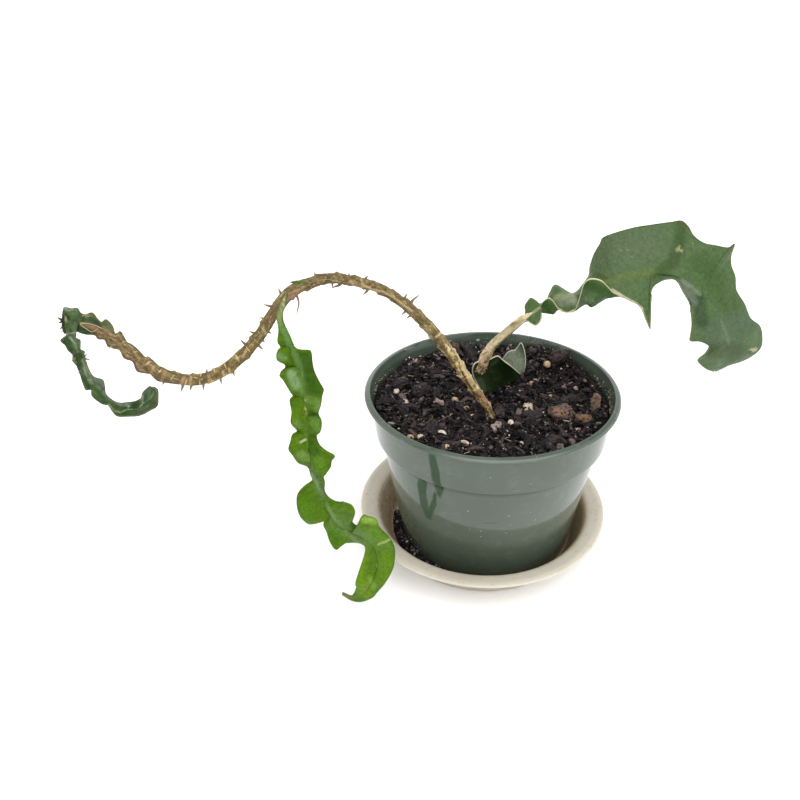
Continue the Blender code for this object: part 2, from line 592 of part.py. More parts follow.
def make_pot(finish):
    floor = POT_BASE + FLOOR_LIFT
    lip = POT_RIM - LIP_HEIGHT
    section = [
        (0, floor),
        (FOOT_RADIUS - FOOT_RING - 1, floor),
        (FOOT_RADIUS - FOOT_RING, POT_BASE),
        (FOOT_RADIUS - 1, POT_BASE),
        (pot_radius(POT_BASE + 1.2), POT_BASE + 1.2),
        (BODY_RADIUS, SHOULDER_HEIGHT - 0.6),
        (SHOULDER_RADIUS, SHOULDER_HEIGHT + 0.4),
        (BAND_RADIUS, lip),
        (LIP_RADIUS - LIP_ROUNDING, lip),
        (LIP_RADIUS, lip + LIP_ROUNDING),
        (LIP_RADIUS, POT_RIM - LIP_ROUNDING),
        (LIP_RADIUS - LIP_ROUNDING, POT_RIM),
        (BAND_RADIUS - 0.6, POT_RIM),
        (BAND_RADIUS - POT_WALL, POT_RIM - 0.9),
        (SHOULDER_RADIUS - POT_WALL, SHOULDER_HEIGHT + 2.2),
        (BODY_RADIUS - POT_WALL, SHOULDER_HEIGHT + 0.8),
        (FOOT_RADIUS - POT_WALL, floor + POT_WALL + 1),
        (FOOT_RADIUS - POT_WALL - 2, floor + POT_WALL),
        (0, floor + POT_WALL),
    ]
    pot = turned("pot", section, 0, finish)
    drills = []
    for k in range(DRAIN_HOLES):
        angle = math.tau * (k + 0.4) / DRAIN_HOLES
        centre = (DRAIN_CIRCLE * math.cos(angle), DRAIN_CIRCLE * math.sin(angle))
        rows = [(*centre, POT_BASE, DRAIN_RADIUS), (*centre, floor + 6, DRAIN_RADIUS)]
        drills.append(tube(f"drill_{k}", rows, 1, 12)[0])
    return finish_piece(apply_boolean(pot, "DIFFERENCE", drills), "pot", finish)


def saucer_section():
    return [
        (0, 0),
        (SAUCER_FOOT_RADIUS - 1.2, 0),
        (SAUCER_FOOT_RADIUS, 1.2),
        (SAUCER_WALL_TOP_RADIUS + 1.2, SAUCER_WALL_TOP - 2),
        (SAUCER_WALL_TOP_RADIUS + 3, SAUCER_WALL_TOP - 0.8),
        (SAUCER_RIM_RADIUS - 1.8, SAUCER_RIM_HEIGHT - 2),
        (SAUCER_RIM_RADIUS - 1.4, SAUCER_RIM_HEIGHT - SAUCER_LIP),
        (SAUCER_RIM_RADIUS - 0.2, SAUCER_RIM_HEIGHT - SAUCER_LIP),
        (SAUCER_RIM_RADIUS, SAUCER_RIM_HEIGHT - 1),
        (SAUCER_RIM_RADIUS - 1.1, SAUCER_RIM_HEIGHT),
        (SAUCER_RIM_RADIUS - 3.5, SAUCER_RIM_HEIGHT + 0.1),
        (SAUCER_WALL_TOP_RADIUS + 1.6, SAUCER_WALL_TOP + 1.3),
        (SAUCER_WALL_TOP_RADIUS, SAUCER_WALL_TOP),
        (SAUCER_FOOT_RADIUS - 1.4, SAUCER_FLOOR + 1.6),
        (SAUCER_FOOT_RADIUS - 3, SAUCER_FLOOR),
        (0, SAUCER_FLOOR),
    ]


def make_saucer(finish):
    saucer = turned("saucer", saucer_section(), SAUCER_OFFSET, finish)
    return finish_piece(turn_faces_out(saucer), "saucer", finish)


def soil_height(x, y):
    """The soil's surface above the table at a place in the pot, in mm."""
    out = math.hypot(x, y) / pot_radius(POT_RIM, inner=True)
    height = SOIL_MIDDLE + SOIL_EDGE_RISE * out ** 4
    for hill_x, hill_y, rise, width in SOIL_HILLS:
        apart = ((x - hill_x) ** 2 + (y - hill_y) ** 2) / width ** 2
        height += rise * math.exp(-apart)
    for layer, (rise, spacing) in enumerate((CLODS, FINE_LUMPS)):
        height += rise * noise.noise(Vector((x / spacing, y / spacing, 3 + 5 * layer)))
    return height


def stone(name, rng, centre, sizes, turn, lean):
    """A rough lump of given length, width and thickness, from an icosahedron of edge 2
    with its corners moved in and out.
    """
    golden = (1 + 5 ** 0.5) / 2
    corners = []
    for a in (-1, 1):
        for b in (-golden, golden):
            corners += [Vector((0, a, b)), Vector((a, b, 0)), Vector((b, 0, a))]
    faces = []
    longest_edge = 2.01
    for i in range(12):
        for j in range(i + 1, 12):
            for k in range(j + 1, 12):
                trio = corners[i], corners[j], corners[k]
                if all((trio[m] - trio[m - 1]).length < longest_edge for m in range(3)):
                    outward = (trio[1] - trio[0]).cross(trio[2] - trio[0]).dot(trio[0]) > 0
                    faces.append((i, j, k) if outward else (i, k, j))
    cos_turn, sin_turn = math.cos(turn), math.sin(turn)
    cos_lean, sin_lean = math.cos(lean), math.sin(lean)
    points = []
    for corner in corners:
        shaken = corner.normalized() * rng.uniform(0.82, 1.12)
        x, y, z = (shaken[m] * sizes[m] / 2 for m in range(3))
        x, z = x * cos_lean - z * sin_lean, x * sin_lean + z * cos_lean
        x, y = x * cos_turn - y * sin_turn, x * sin_turn + y * cos_turn
        points.append((centre[0] + x, centre[1] + y, centre[2] + z))
    return add_object(name, points, faces)


def make_soil(finish, holes):
    wall = pot_radius(POT_RIM, inner=True) - GAP
    points = [(0, 0, soil_height(0, 0))]
    faces = []
    for ring in range(1, SOIL_RINGS + 1):
        for k in range(SOIL_SECTORS):
            angle = math.tau * k / SOIL_SECTORS
            radius = (wall - 1.1) * ring / SOIL_RINGS
            x, y = radius * math.cos(angle), radius * math.sin(angle)
            points.append((x, y, soil_height(x, y)))
    sides = (
        (SHOULDER_RADIUS - POT_WALL - 2 * GAP, SHOULDER_HEIGHT + 3.2),
        (BODY_RADIUS - POT_WALL - 2 * GAP, SHOULDER_HEIGHT + 0.8),
        (FOOT_RADIUS - POT_WALL - GAP, POT_BASE + FLOOR_LIFT + POT_WALL + 3),
        (FOOT_RADIUS - POT_WALL - 3, POT_BASE + FLOOR_LIFT + POT_WALL + GAP),
    )
    for radius, height in sides:
        for k in range(SOIL_SECTORS):
            angle = math.tau * k / SOIL_SECTORS
            points.append((radius * math.cos(angle), radius * math.sin(angle), height))
    points.append((0, 0, sides[-1][1]))
    bottom = len(points) - 1
    rings = SOIL_RINGS + len(sides)
    last = 1 + (rings - 1) * SOIL_SECTORS
    for k in range(SOIL_SECTORS):
        after = (k + 1) % SOIL_SECTORS
        faces.append((0, 1 + k, 1 + after))
        faces.append((bottom, last + after, last + k))
        for ring in range(rings - 1):
            inner = 1 + ring * SOIL_SECTORS
            outer = inner + SOIL_SECTORS
            faces.append((inner + k, outer + k, outer + after))
            faces.append((inner + k, outer + after, inner + after))
    soil = add_object("soil", points, faces, finish)

    rng = random.Random(CHIP_SEED)
    lumps = []
    for x, y, long, wide, thick, turn, lean in BARK_PIECES:
        rise = math.sin(math.radians(lean)) * long * 0.3
        centre = (x, y, soil_height(x, y) + rise + thick * 0.12)
        lumps.append(stone(f"bark_{len(lumps)}", rng, centre, (long, wide, thick),
                           math.radians(turn), math.radians(lean)))
    for x, y, size in GRIT:
        centre = (x, y, soil_height(x, y) + size * 0.15)
        lumps.append(stone(f"grit_{len(lumps)}", rng, centre, (size, size * 0.85, size * 0.8),
                           rng.uniform(0, math.pi), 0))
    placed = 0
    while placed < SMALL_CHIPS:
        angle, out = rng.uniform(0, math.tau), CHIP_RADIUS * math.sqrt(rng.random())
        x, y = out * math.cos(angle), out * math.sin(angle)
        size = rng.uniform(*CHIP_LENGTHS)
        turn, lean = rng.uniform(0, math.pi), rng.uniform(-0.3, 0.3)
        near_stem = any(math.hypot(x - a, y - b) < radius for a, b, radius in CHIP_FREE)
        if near_stem or out + size / 2 > CHIP_RADIUS + 2:
            continue
        centre = (x, y, soil_height(x, y) + 1.0)
        sizes = (size, size * rng.uniform(0.4, 0.8), size * rng.uniform(0.35, 0.6))
        lumps.append(stone(f"chip_{len(lumps)}", rng, centre, sizes, turn, lean))
        placed += 1
    apply_boolean(soil, "UNION", lumps)
    apply_boolean(soil, "DIFFERENCE", holes)
    return finish_piece(keep_largest(soil), "soil", finish)


def make_crumbs(finish):
    """Soil that has washed out on the saucer's floor: a low, uneven ridge with tapered ends."""
    rng = random.Random(CHIP_SEED)
    points = []
    section = 6
    for step in range(CRUMBS_STEPS + 1):
        share = step / CRUMBS_STEPS
        angle = math.radians(CRUMBS_FROM + (CRUMBS_TO - CRUMBS_FROM) * share)
        direction = Vector((math.cos(angle), math.sin(angle), 0))
        inner = pot_radius(POT_BASE + 4) + GAP
        along = SAUCER_OFFSET * direction.x
        wall = SAUCER_FOOT_RADIUS - 2.0 - GAP
        outer = along + math.sqrt(wall ** 2 - (SAUCER_OFFSET * direction.y) ** 2)
        taper = min(1.0, share * 6, (1 - share) * 6) ** 0.5
        low = SAUCER_FLOOR + GAP
        height = low + 0.8 + taper * (0.55 * (outer - inner) + rng.uniform(0.3, 1.2))
        floor_out = outer - min(1.8, 0.45 * (outer - inner))
        bump = [rng.uniform(-0.3, 0.3) for _ in range(3)]
        mix = (
            (inner, low),
            (floor_out, low),
            (outer, low + min(1.2, 0.5 * (height - low))),
            (outer * 0.6 + inner * 0.4, height - 0.8 + bump[0]),
            (outer * 0.25 + inner * 0.75, height + bump[1]),
            (inner + 0.1, height + bump[2]),
        )
        for radius, z in mix:
            points.append((*(direction * radius).to_2d(), z))
    faces = [tuple(range(section))]
    for step in range(CRUMBS_STEPS):
        for k in range(section):
            a = step * section + k
            b = step * section + (k + 1) % section
            faces.append((a, a + section, b + section))
            faces.append((a, b + section, b))
    faces.append(tuple(range(CRUMBS_STEPS * section, (CRUMBS_STEPS + 1) * section))[::-1])
    crumbs = add_object("spilled_soil", points, faces, finish)
    return finish_piece(turn_faces_out(crumbs), "spilled_soil", finish)


def cane_wings(name, grow=0.0):
    return blade(name, WING_MIDRIB, WING_UPPER, WING_LOWER, rib=4.0, edge=1.1, columns=1, grow=grow)


def make_cane(finish):
    cane, path, lengths = tube("cane", CANE, 3, CANE_SIDES, knots=KNOT_RISE)
    added = [cane_wings("wings")]
    for distance, x, y, z in ROOTLETS:
        root = at_place(path, lengths, distance / lengths[-1])
        tip = root + Vector((x, y, z))
        slim = ROOTLET_RADIUS if (tip - root).length < LONG_ROOTLET else LONG_ROOTLET_RADIUS
        rows = [(*root, slim * 1.2), (*root.lerp(tip, 0.6), slim), (*tip, SLIMMEST)]
        added.append(tube(f"rootlet_{len(added)}", rows, 1, 4)[0])
    return finish_piece(keep_largest(apply_boolean(cane, "UNION", added)), "cane", finish)


def cane_clearance():
    """The cane and its wings, one gap larger all round."""
    grown = tube("cane_space", CANE, 3, CANE_SIDES, grow=GAP, knots=KNOT_RISE)[0]
    return apply_boolean(grown, "UNION", [cane_wings("wing_space", grow=GAP)])


def make_cane_tip(finish):
    end = blade("cane_tip", END_MIDRIB, END_UPPER, END_LOWER, rib=3.0, edge=1.0, columns=2)
    hanging = blade("tip_blade", TIP_MIDRIB, TIP_LEFT, TIP_RIGHT, rib=2.8, edge=1.0, columns=2)
    apply_boolean(end, "UNION", [hanging])
    apply_boolean(end, "DIFFERENCE", [cane_clearance()])
    return finish_piece(keep_largest(end), "cane_tip", finish)


def make_hanging_branch(finish):
    branch = blade("hanging_branch", HANGING_MIDRIB, HANGING_LEFT, HANGING_RIGHT,
                   rib=3.4, edge=1.0)
    apply_boolean(branch, "DIFFERENCE", [cane_clearance()])
    return finish_piece(keep_largest(branch), "hanging_branch", finish)


def base_cladode(name, grow=0.0):
    flaps = blade(name, BASE_FOLD, BASE_FRONT, BASE_REAR, rib=1.8, edge=1.0, closest=1.1, grow=grow)
    stub = tube(name + "_stub", BASE_STUB, 3, 8, grow=grow)[0]
    return apply_boolean(flaps, "UNION", [stub])


def stalk(name, grow=0.0):
    return tube(name, STALK, 4, 8, grow=grow)[0]


def make_base_cladode(finish):
    joint = base_cladode("base_cladode")
    apply_boolean(joint, "DIFFERENCE", [stalk("stalk_space", grow=GAP)])
    return finish_piece(keep_largest(joint), "base_cladode", finish)


def make_right_cladode(finish):
    joint = blade("right_cladode", RIGHT_MIDRIB, RIGHT_UPPER, RIGHT_LOWER, rib=3.2, edge=1.1)
    apply_boolean(joint, "DIFFERENCE", [stalk("stalk_space", grow=GAP)])
    return finish_piece(keep_largest(joint), "right_cladode", finish)


def main():
    clear_scene()
    green_plastic = material("green_plastic", (0.07, 0.14, 0.11), 0.25)
    cream_plastic = material("cream_plastic", (0.62, 0.57, 0.50), 0.4)
    bark_soil = material("bark_soil", (0.035, 0.025, 0.022), 0.9)
    woody = material("woody_stem", (0.30, 0.21, 0.10), 0.7)
    dark_leaf = material("dark_leaf", (0.07, 0.13, 0.05), 0.45)
    bright_leaf = material("bright_leaf", (0.12, 0.25, 0.03), 0.45)

    make_saucer(cream_plastic)
    make_pot(green_plastic)
    make_crumbs(bark_soil)
    buried = CANE[:BURIED_ROWS]
    holes = [tube("cane_hole", buried, 3, CANE_SIDES, grow=GAP, knots=KNOT_RISE)[0],
             base_cladode("base_hole", grow=GAP)]
    make_soil(bark_soil, holes)
    make_cane(woody)
    make_cane_tip(dark_leaf)
    make_hanging_branch(bright_leaf)
    make_base_cladode(dark_leaf)
    finish_piece(turn_faces_out(stalk("right_stem")), "right_stem", woody)
    make_right_cladode(dark_leaf)


main()
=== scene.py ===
"""The looks of the potted orchid cactus: each CAD node is replaced by finer meshes of the same
form, with their own materials. Sizes are in mm, in the frame of the CAD. The driving dimensions
are those of the part's source, apart from these, which follow the photograph more closely: the
cane's arch hangs up to 3.2 mm lower, its scales stand out further, some of its short roots are
shorter, the foot of the stalk is slimmer, the stub at the small joint ends lower, the pot's
lip is a little less rounded, and the hanging branch reaches up to the arch.
"""

import math
import random

import bpy
import numpy as np
from mathutils import Matrix, Vector, kdtree, noise


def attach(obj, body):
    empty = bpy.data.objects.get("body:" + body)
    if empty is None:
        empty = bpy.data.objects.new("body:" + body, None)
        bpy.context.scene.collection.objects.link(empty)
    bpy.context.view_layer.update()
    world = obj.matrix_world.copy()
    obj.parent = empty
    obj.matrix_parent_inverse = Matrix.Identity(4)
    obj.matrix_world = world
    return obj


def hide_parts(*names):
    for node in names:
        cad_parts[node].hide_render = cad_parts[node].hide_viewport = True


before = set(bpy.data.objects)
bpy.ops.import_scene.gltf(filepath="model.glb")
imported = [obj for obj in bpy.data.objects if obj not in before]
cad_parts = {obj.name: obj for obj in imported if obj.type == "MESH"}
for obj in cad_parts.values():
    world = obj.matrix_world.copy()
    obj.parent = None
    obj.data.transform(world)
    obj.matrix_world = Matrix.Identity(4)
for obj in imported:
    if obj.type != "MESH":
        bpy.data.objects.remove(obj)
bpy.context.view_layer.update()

MM = 0.001
GAP = 0.35  # between neighbouring pieces

# The photograph's camera: focal length as a share of the picture's width, height of its view
# above the table in degrees, tilt of the picture, distance to the point it looks at, that point
FOCAL = 0.8945
CAMERA_RISE = 31.49
CAMERA_ROLL = -1.68
CAMERA_DISTANCE = 442.66
CAMERA_TARGET = (-55.78, 0, 103.67)
SENSOR = 36.0
PICTURE = 800  # pixels on each side

# Pot and saucer, both turned. Bases and rims are heights above the table
POT_HEIGHT = 109.3
POT_BASE = 2.7
POT_RIM = POT_BASE + POT_HEIGHT
POT_WALL = 1.5
LIP_RADIUS = 77.5
LIP_HEIGHT = 2.8
BAND_RADIUS = 73.9
SHOULDER_HEIGHT = 84.4
SHOULDER_RADIUS = 71.6
BODY_RADIUS = 68.1
FOOT_RADIUS = 56.2
FOOT_RING = 5.5
FLOOR_LIFT = 1.5
LIP_ROUNDING = 0.6
# The lip's top slopes down and out over this width and drop, above a steep bevel inside
LIP_TOP = 3.6
LIP_DROP = 0.6
LIP_CHAMFER = 1.0
LIP_BEVEL = 5.0
DRAIN_HOLES = 6
DRAIN_RADIUS = 4.0
DRAIN_CIRCLE = 42.0
POT_WOBBLE = 0.16  # how far the pot's walls stray from true, as moulded plastic does
SHARP_EDGE = 50  # edges of the pot that bend by more degrees than this look sharp

SAUCER_OFFSET = -3.2  # the pot stands a little to the right in it
SAUCER_RIM_RADIUS = 80.9
SAUCER_RIM_HEIGHT = 24.2
SAUCER_EDGE = 1.6
SAUCER_FOOT_RADIUS = 62.2
SAUCER_FLOOR = 2.4
SAUCER_WALL_TOP_RADIUS = 68.8
SAUCER_WALL_TOP = 21.4
SAUCER_WOBBLE = 0.2

# Soil surface: heights above the table
SOIL_MIDDLE = 98.0
SOIL_EDGE_RISE = 6.0
# Rise and spacing of its clods and of the finer lumps on them
CLODS = (2.2, 11)
FINE_LUMPS = (1.3, 6)
# Low hills and dips: x, y, height, width
SOIL_HILLS = (
    (44, 48, 7.0, 20),
    (-44, 30, 3.0, 18),
    (12, 17, 3.5, 9),
    (0, -14, -2.5, 9),
    (30, -34, 1.5, 16),
    (-12, 58, 1.0, 9),
)
# Large pieces of bark on the soil: x, y, length, width, thickness, turn, lean in degrees
BARK_PIECES = (
    (50.5, 1, 32, 7, 5, 8, 4),
    (41, -17, 15, 13, 11, 20, 0),
    (53, -24, 12, 8, 5, -25, 10),
    (61, -15, 14, 6, 3.5, 70, 66),
    (-7, 60, 17, 8, 4, 132, 38),
    (-17, 62, 9, 6, 3.5, 95, 35),
    (-38, -30, 12, 9, 8, 60, 15),
    (24, -14, 15, 7, 5, -12, 6),
    (-42, 14, 13, 9, 7, 30, 0),
    (-52, -4, 16, 5, 4, -20, 6),
    (30, -46, 16, 7, 5, 15, 8),
    (8, 40, 15, 6, 5, -30, 5),
    (50, 40, 15, 9, 7, 25, 12),
)
# Mineral grit, about the size of a lentil: x, y, across
GRIT = (
    (42, 36, 5.2), (64, 20, 4.2), (39, 7, 3.8), (49, -8, 3.4), (10, -22, 4.2),
    (-21, 7, 4.6), (-15, -3, 3.6), (-12, -13, 3.4), (-1, -26, 3.6), (-32, -34, 5.6),
    (-30, -48, 5.0), (-50, -38, 4.6), (-45, -38, 4.2), (8, 17, 4.8), (21, 13, 3.8),
    (12, -46, 3.2), (30, 22, 4.6), (-26, 38, 3.6), (56, 12, 3.4), (-58, 12, 4.0),
)
SMALL_CHIPS = 32
CHIP_LENGTHS = (5, 10)
CHIP_RADIUS = 66  # the circle that they lie in
# Circles kept free of them round the stems: x, y, radius
CHIP_FREE = ((-1, -13, 9), (8, 18, 17))
CHIP_SEED = 7

# Crumbs that lie on the saucer's floor round the pot: from and to in degrees, from the left
# round the front, and in how many steps
CRUMBS_FROM = 166
CRUMBS_TO = 284
CRUMBS_STEPS = 30

# The bare arching stem, from its buried end: x, y, z, radius
CANE = (
    (9, -9, 76, 1.6), (4.5, -10.5, 87, 1.6), (0.5, -12, 97, 1.7), (-6, -13, 109, 2.5),
    (-14.5, -14, 123, 2.8), (-26.5, -17, 144.2, 3.1), (-38, -21, 162.2, 3.4),
    (-51.5, -28, 179.8, 2.9), (-64, -35, 192.2, 2.7), (-76.5, -42, 199.5, 2.7),
    (-88, -50, 204.6, 2.7), (-97.5, -58, 205.6, 2.8), (-106, -65, 204, 3.0), (-113, -70, 197, 2.9),
    (-120.5, -73, 187, 2.8), (-129.5, -76, 178, 2.9), (-140, -79, 171, 2.9),
    (-150.5, -81, 168, 2.8), (-160.5, -82, 169.5, 2.7), (-170.5, -82, 175, 2.5),
    (-180.5, -80, 183.5, 2.3), (-190.5, -77, 190, 2.1), (-198, -74.5, 194, 1.7),
    (-203, -73.5, 195.6, 0.7),
)
MARGIN_STEP = 0.5  # least distance along a midrib between the places of two margin points
SAME_PLACE = 0.2  # places on a midrib closer than this count as one
NARROW = 5.0  # a half of a leaf that is narrower than this takes its lie from the other half
KNOT_SPACING = 10.5  # between the scales on one ridge of the cane
KNOT_RISE = 0.85  # how far a scale stands out
LIP_WIDTH = 0.17  # as a share of a cell of the net
NET_RISE = 0.3
SCAR_SPACING = 6.3  # of the pale bands on the left part
# Half lengths of a scale's lip and of a scar's, as shares of their spacings
KNOT_LIP = 0.045
SCAR_LIP = 0.09
# Its rough part near the soil fades out over the first stretch along it, and the scars come in
# over the second
LOW_PART = (70, 105)
FAR_PART = (195, 225)
LIP_BEND = 0.09  # how far a lip swings back beside its ridge
KNOT_STEP = 0.78  # how far along its spacing a scale is highest
RIDGES = 3
RIDGE_TURN = 0.05  # radians for each mm along the stem
RIDGE_WIDTH = 0.6  # radians
# Short aerial roots: distance along the cane, then from there to the tip
ROOTLETS = (
    (60, -3.5, -2.5, 1.5), (84, 4.0, 1.5, 2.5), (101, -3.6, 2.5, 2.8),
    (116, -3.4, -1, -3.6), (119, 5.4, -1, 7.9), (121, -3.0, -1, -4.4), (123, 1.4, -1, 6.6),
    (149, -3.2, -1, -5.0), (152, 2.0, 1, 3.6), (160, -1.0, 3, 2.8), (172, 0.6, -3, -3.2),
    (164, -6.5, -1, -3.8), (180, -1.5, 4.5, 2.5), (193, -0.4, -1, -13.0), (195, 4.5, -1, 3.0),
    (199, -2.6, -1, 4.6), (204, -6.9, -1, 1.2), (212, -4.0, -1, 1.8), (218, 3.8, -1, -1.4),
    (220, -5.0, -1, 1.9), (223, 3.6, -1, -1.5), (226, 4.4, -1, -2.8), (228, -4.0, -1, 4.2),
    (242, 1.8, -1, -5.0), (249, 1.6, -1, -4.9), (257, 0.4, -1, -5.2), (262, -0.8, -1, -5.0),
    (266, -1.2, -1, -6.2), (254, -0.6, 4.2, 2.6), (236, 1.2, 4.0, 2.8), (274, -1.8, -1, -5.2),
)
LONG_ROOTLET = 12  # a longer one than this is thin

# The cane's flattened end: brown crenate wings, then a green end
WING_MIDRIB = (
    (-160.5, -82, 169.5), (-170.5, -82, 175), (-180.5, -80, 183.5), (-190.5, -77, 190),
    (-198, -74.5, 194), (-202.5, -73.5, 195.5),
)
WING_UPPER = (
    (-161, -81, 172), (-167.5, -80, 173.5), (-170.5, -79, 177), (-173.5, -78, 179.5),
    (-175, -78, 179), (-178, -77, 183), (-180.5, -77, 186), (-182, -77, 187), (-185, -74, 191),
    (-187, -74, 190), (-192, -76, 191.5), (-202.5, -73.3, 196.3),
)
WING_LOWER = (
    (-160, -83, 166.5), (-168.5, -84, 169), (-170.5, -84, 170.5), (-172.5, -83, 172.5),
    (-174, -83, 173), (-178.5, -83, 174.5), (-179.5, -83, 179.5), (-182.5, -84, 182),
    (-184, -83, 186), (-187, -83, 187), (-189.5, -82, 187.5), (-191, -80, 190),
    (-194, -80, 190.5), (-196, -78, 192.2), (-202.5, -73.7, 194.9),
)
END_MIDRIB = (
    (-186, -78.5, 187), (-191.5, -76.5, 190.7), (-198, -74.5, 194), (-203, -73.5, 195.6),
    (-207.5, -73, 196), (-211, -73, 196.3),
)
END_UPPER = (
    (-187, -76, 190), (-188.5, -73, 193.5), (-191.5, -71, 196), (-193.5, -72, 195.2),
    (-195.5, -71, 196.7), (-198, -69, 198.7), (-201.5, -69, 197.8), (-203.5, -69, 198.8),
    (-204.8, -68, 200.8), (-208.3, -67, 200.3), (-211.4, -67, 200.9), (-211.5, -69, 198),
)
END_LOWER = (
    (-187.5, -79, 187.2), (-193, -78, 189.6), (-196.5, -78, 191.5), (-199, -79, 192.3),
    (-202, -78, 192.5), (-204.5, -77, 193), (-207, -77, 192.5), (-210, -77, 192.3),
    (-211.3, -75, 195),
)
TIP_MIDRIB = (
    (-206.5, -74.5, 197), (-205.5, -80, 193.5), (-204, -83, 190), (-202, -87, 186.5),
    (-199.5, -90, 182), (-197.5, -92, 176.5), (-195, -94, 172), (-191.5, -95, 167),
    (-187, -96, 163), (-181.5, -96, 161), (-176, -96, 161.5), (-171.5, -97, 165),
    (-169, -97, 169), (-167.5, -97, 173.5),
)
TIP_LEFT = (
    (-209.5, -75, 196), (-208, -79, 192.5), (-211, -80, 190), (-208.5, -82, 188.5),
    (-207, -84, 187), (-204.5, -86, 185.5), (-204.2, -88, 183.5), (-202.5, -89, 181.5),
    (-201.5, -90, 177), (-200.5, -92, 173.5), (-199.5, -93, 171), (-197.3, -93, 171),
    (-197.5, -93, 168), (-195.5, -94, 166), (-192.5, -95, 164), (-190, -96, 164.5),
    (-188, -98, 162.5), (-186, -99, 160), (-180.5, -100, 160.5), (-174.5, -101, 161.5),
    (-169, -102, 164.5), (-165.5, -102, 166.5), (-164.5, -101, 170.5), (-164.7, -99, 173.5),
    (-167, -97, 174),
)
TIP_RIGHT = (
    (-203, -75, 196.5), (-203.5, -80, 192), (-201, -82, 191), (-201, -84, 187.5),
    (-199.5, -84, 186), (-199.5, -86, 184.5), (-198, -88, 183), (-197.5, -89, 181),
    (-196, -91, 178), (-195, -89, 175), (-193, -88, 173), (-192, -90, 171),
    (-191.5, -92, 168), (-189.5, -92, 164.5), (-186.5, -92, 162.8), (-182, -91, 162.5),
    (-179, -91, 163), (-176, -91, 164.7), (-174, -92, 168.5), (-169.5, -95, 173.2),
)

# The bright green branch that hangs from the arch
HANGING_MIDRIB = (
    (-106.6, -69.5, 206), (-109.2, -71.5, 200), (-110.5, -73, 195.5), (-109.5, -75, 188.5),
    (-108, -76, 182), (-105, -76, 174.5), (-103, -76, 166.5), (-102.5, -76, 156.5),
    (-102.5, -76, 145), (-103.5, -76, 133), (-103, -76, 120.5), (-102, -77, 111),
    (-100.5, -78, 102.5), (-99, -78, 91.5), (-96, -77, 81), (-91, -76, 71), (-83.5, -76, 64.5),
    (-76, -76, 59), (-71.5, -76, 50.5), (-71.5, -75, 38.5), (-75.5, -74, 25.5), (-80.5, -73, 15.5),
    (-86.5, -72, 9.5), (-94, -70, 11),
)
HANGING_LEFT = (
    (-107.4, -69.5, 206), (-110.6, -71.5, 200), (-112, -73, 195.5), (-111.5, -75, 190),
    (-112.5, -76, 184.5), (-111.5, -75, 181), (-113, -79, 180), (-113, -80, 176.5),
    (-110.5, -77, 173), (-110.7, -75, 169.5), (-113, -79, 168), (-111.5, -79, 165),
    (-109.5, -77, 158), (-108.5, -75, 154), (-110, -77, 152.5), (-109.5, -79, 147),
    (-110.5, -79, 140.5), (-108.5, -75, 133.5), (-111, -76, 131.5), (-112, -79, 129),
    (-113, -81, 126), (-111.5, -80, 121.5), (-109.5, -78, 115.5), (-105, -76, 111),
    (-104, -76, 106), (-103.5, -77, 103), (-108, -80, 101), (-111, -82, 98), (-112, -83, 92.5),
    (-111.5, -83, 85), (-109.5, -82, 79.5), (-107, -80, 75.5), (-104, -78, 76.5), (-99, -76, 77),
    (-100, -76, 71), (-98.5, -77, 66.5), (-97, -79, 61), (-94, -81, 57), (-91.5, -80, 58.5),
    (-88.5, -78, 59), (-84, -76, 57.5), (-80, -75, 55.5), (-78, -75, 52.5), (-79, -75, 46),
    (-82.5, -76, 35), (-85, -77, 26.5), (-84.8, -75, 21.5), (-87, -74, 14.5), (-89, -72.5, 11.5),
    (-93.8, -70, 12),
)
HANGING_RIGHT = (
    (-106.0, -69.5, 206), (-107.8, -71.5, 200), (-109, -73, 195.5), (-108, -75, 191.5),
    (-106, -77, 187.5), (-105, -78, 184.5), (-104, -77, 181.3), (-100.5, -79, 181.3),
    (-97, -81, 182), (-96.2, -81, 180), (-96.5, -79, 174), (-96, -78, 168.5), (-94, -79, 163.5),
    (-92.3, -80, 160), (-93.5, -79, 155.5), (-94.5, -79, 150.5), (-96.5, -76, 144), (-95, -79, 142),
    (-95, -80, 139), (-96, -79, 135), (-98.5, -76, 130.5), (-97.5, -78, 127), (-94.5, -80, 124.5),
    (-89.7, -82, 122), (-91.5, -81, 118), (-92.5, -80, 113.5), (-95, -79, 109), (-97, -77, 105),
    (-96.5, -78, 102), (-97.5, -76, 95.5), (-95.5, -77, 91.5), (-91, -79, 89.7), (-86, -81, 90.5),
    (-82.7, -82, 89), (-81.5, -82, 84.5), (-83, -80, 78), (-83.8, -77.5, 74), (-81.8, -76, 70),
    (-79.8, -78, 74.5), (-77.5, -81, 81.5), (-74.5, -81, 80.5), (-70.5, -80, 77.5), (-69, -79, 71),
    (-64.5, -79, 64.5), (-62, -79, 59), (-61, -78, 50.5), (-62.5, -78, 38.5), (-67.5, -77, 26),
    (-72, -75, 17.5), (-75.5, -74, 11.5), (-82.5, -73, 7), (-88.5, -72, 7.3), (-94, -70, 10),
)

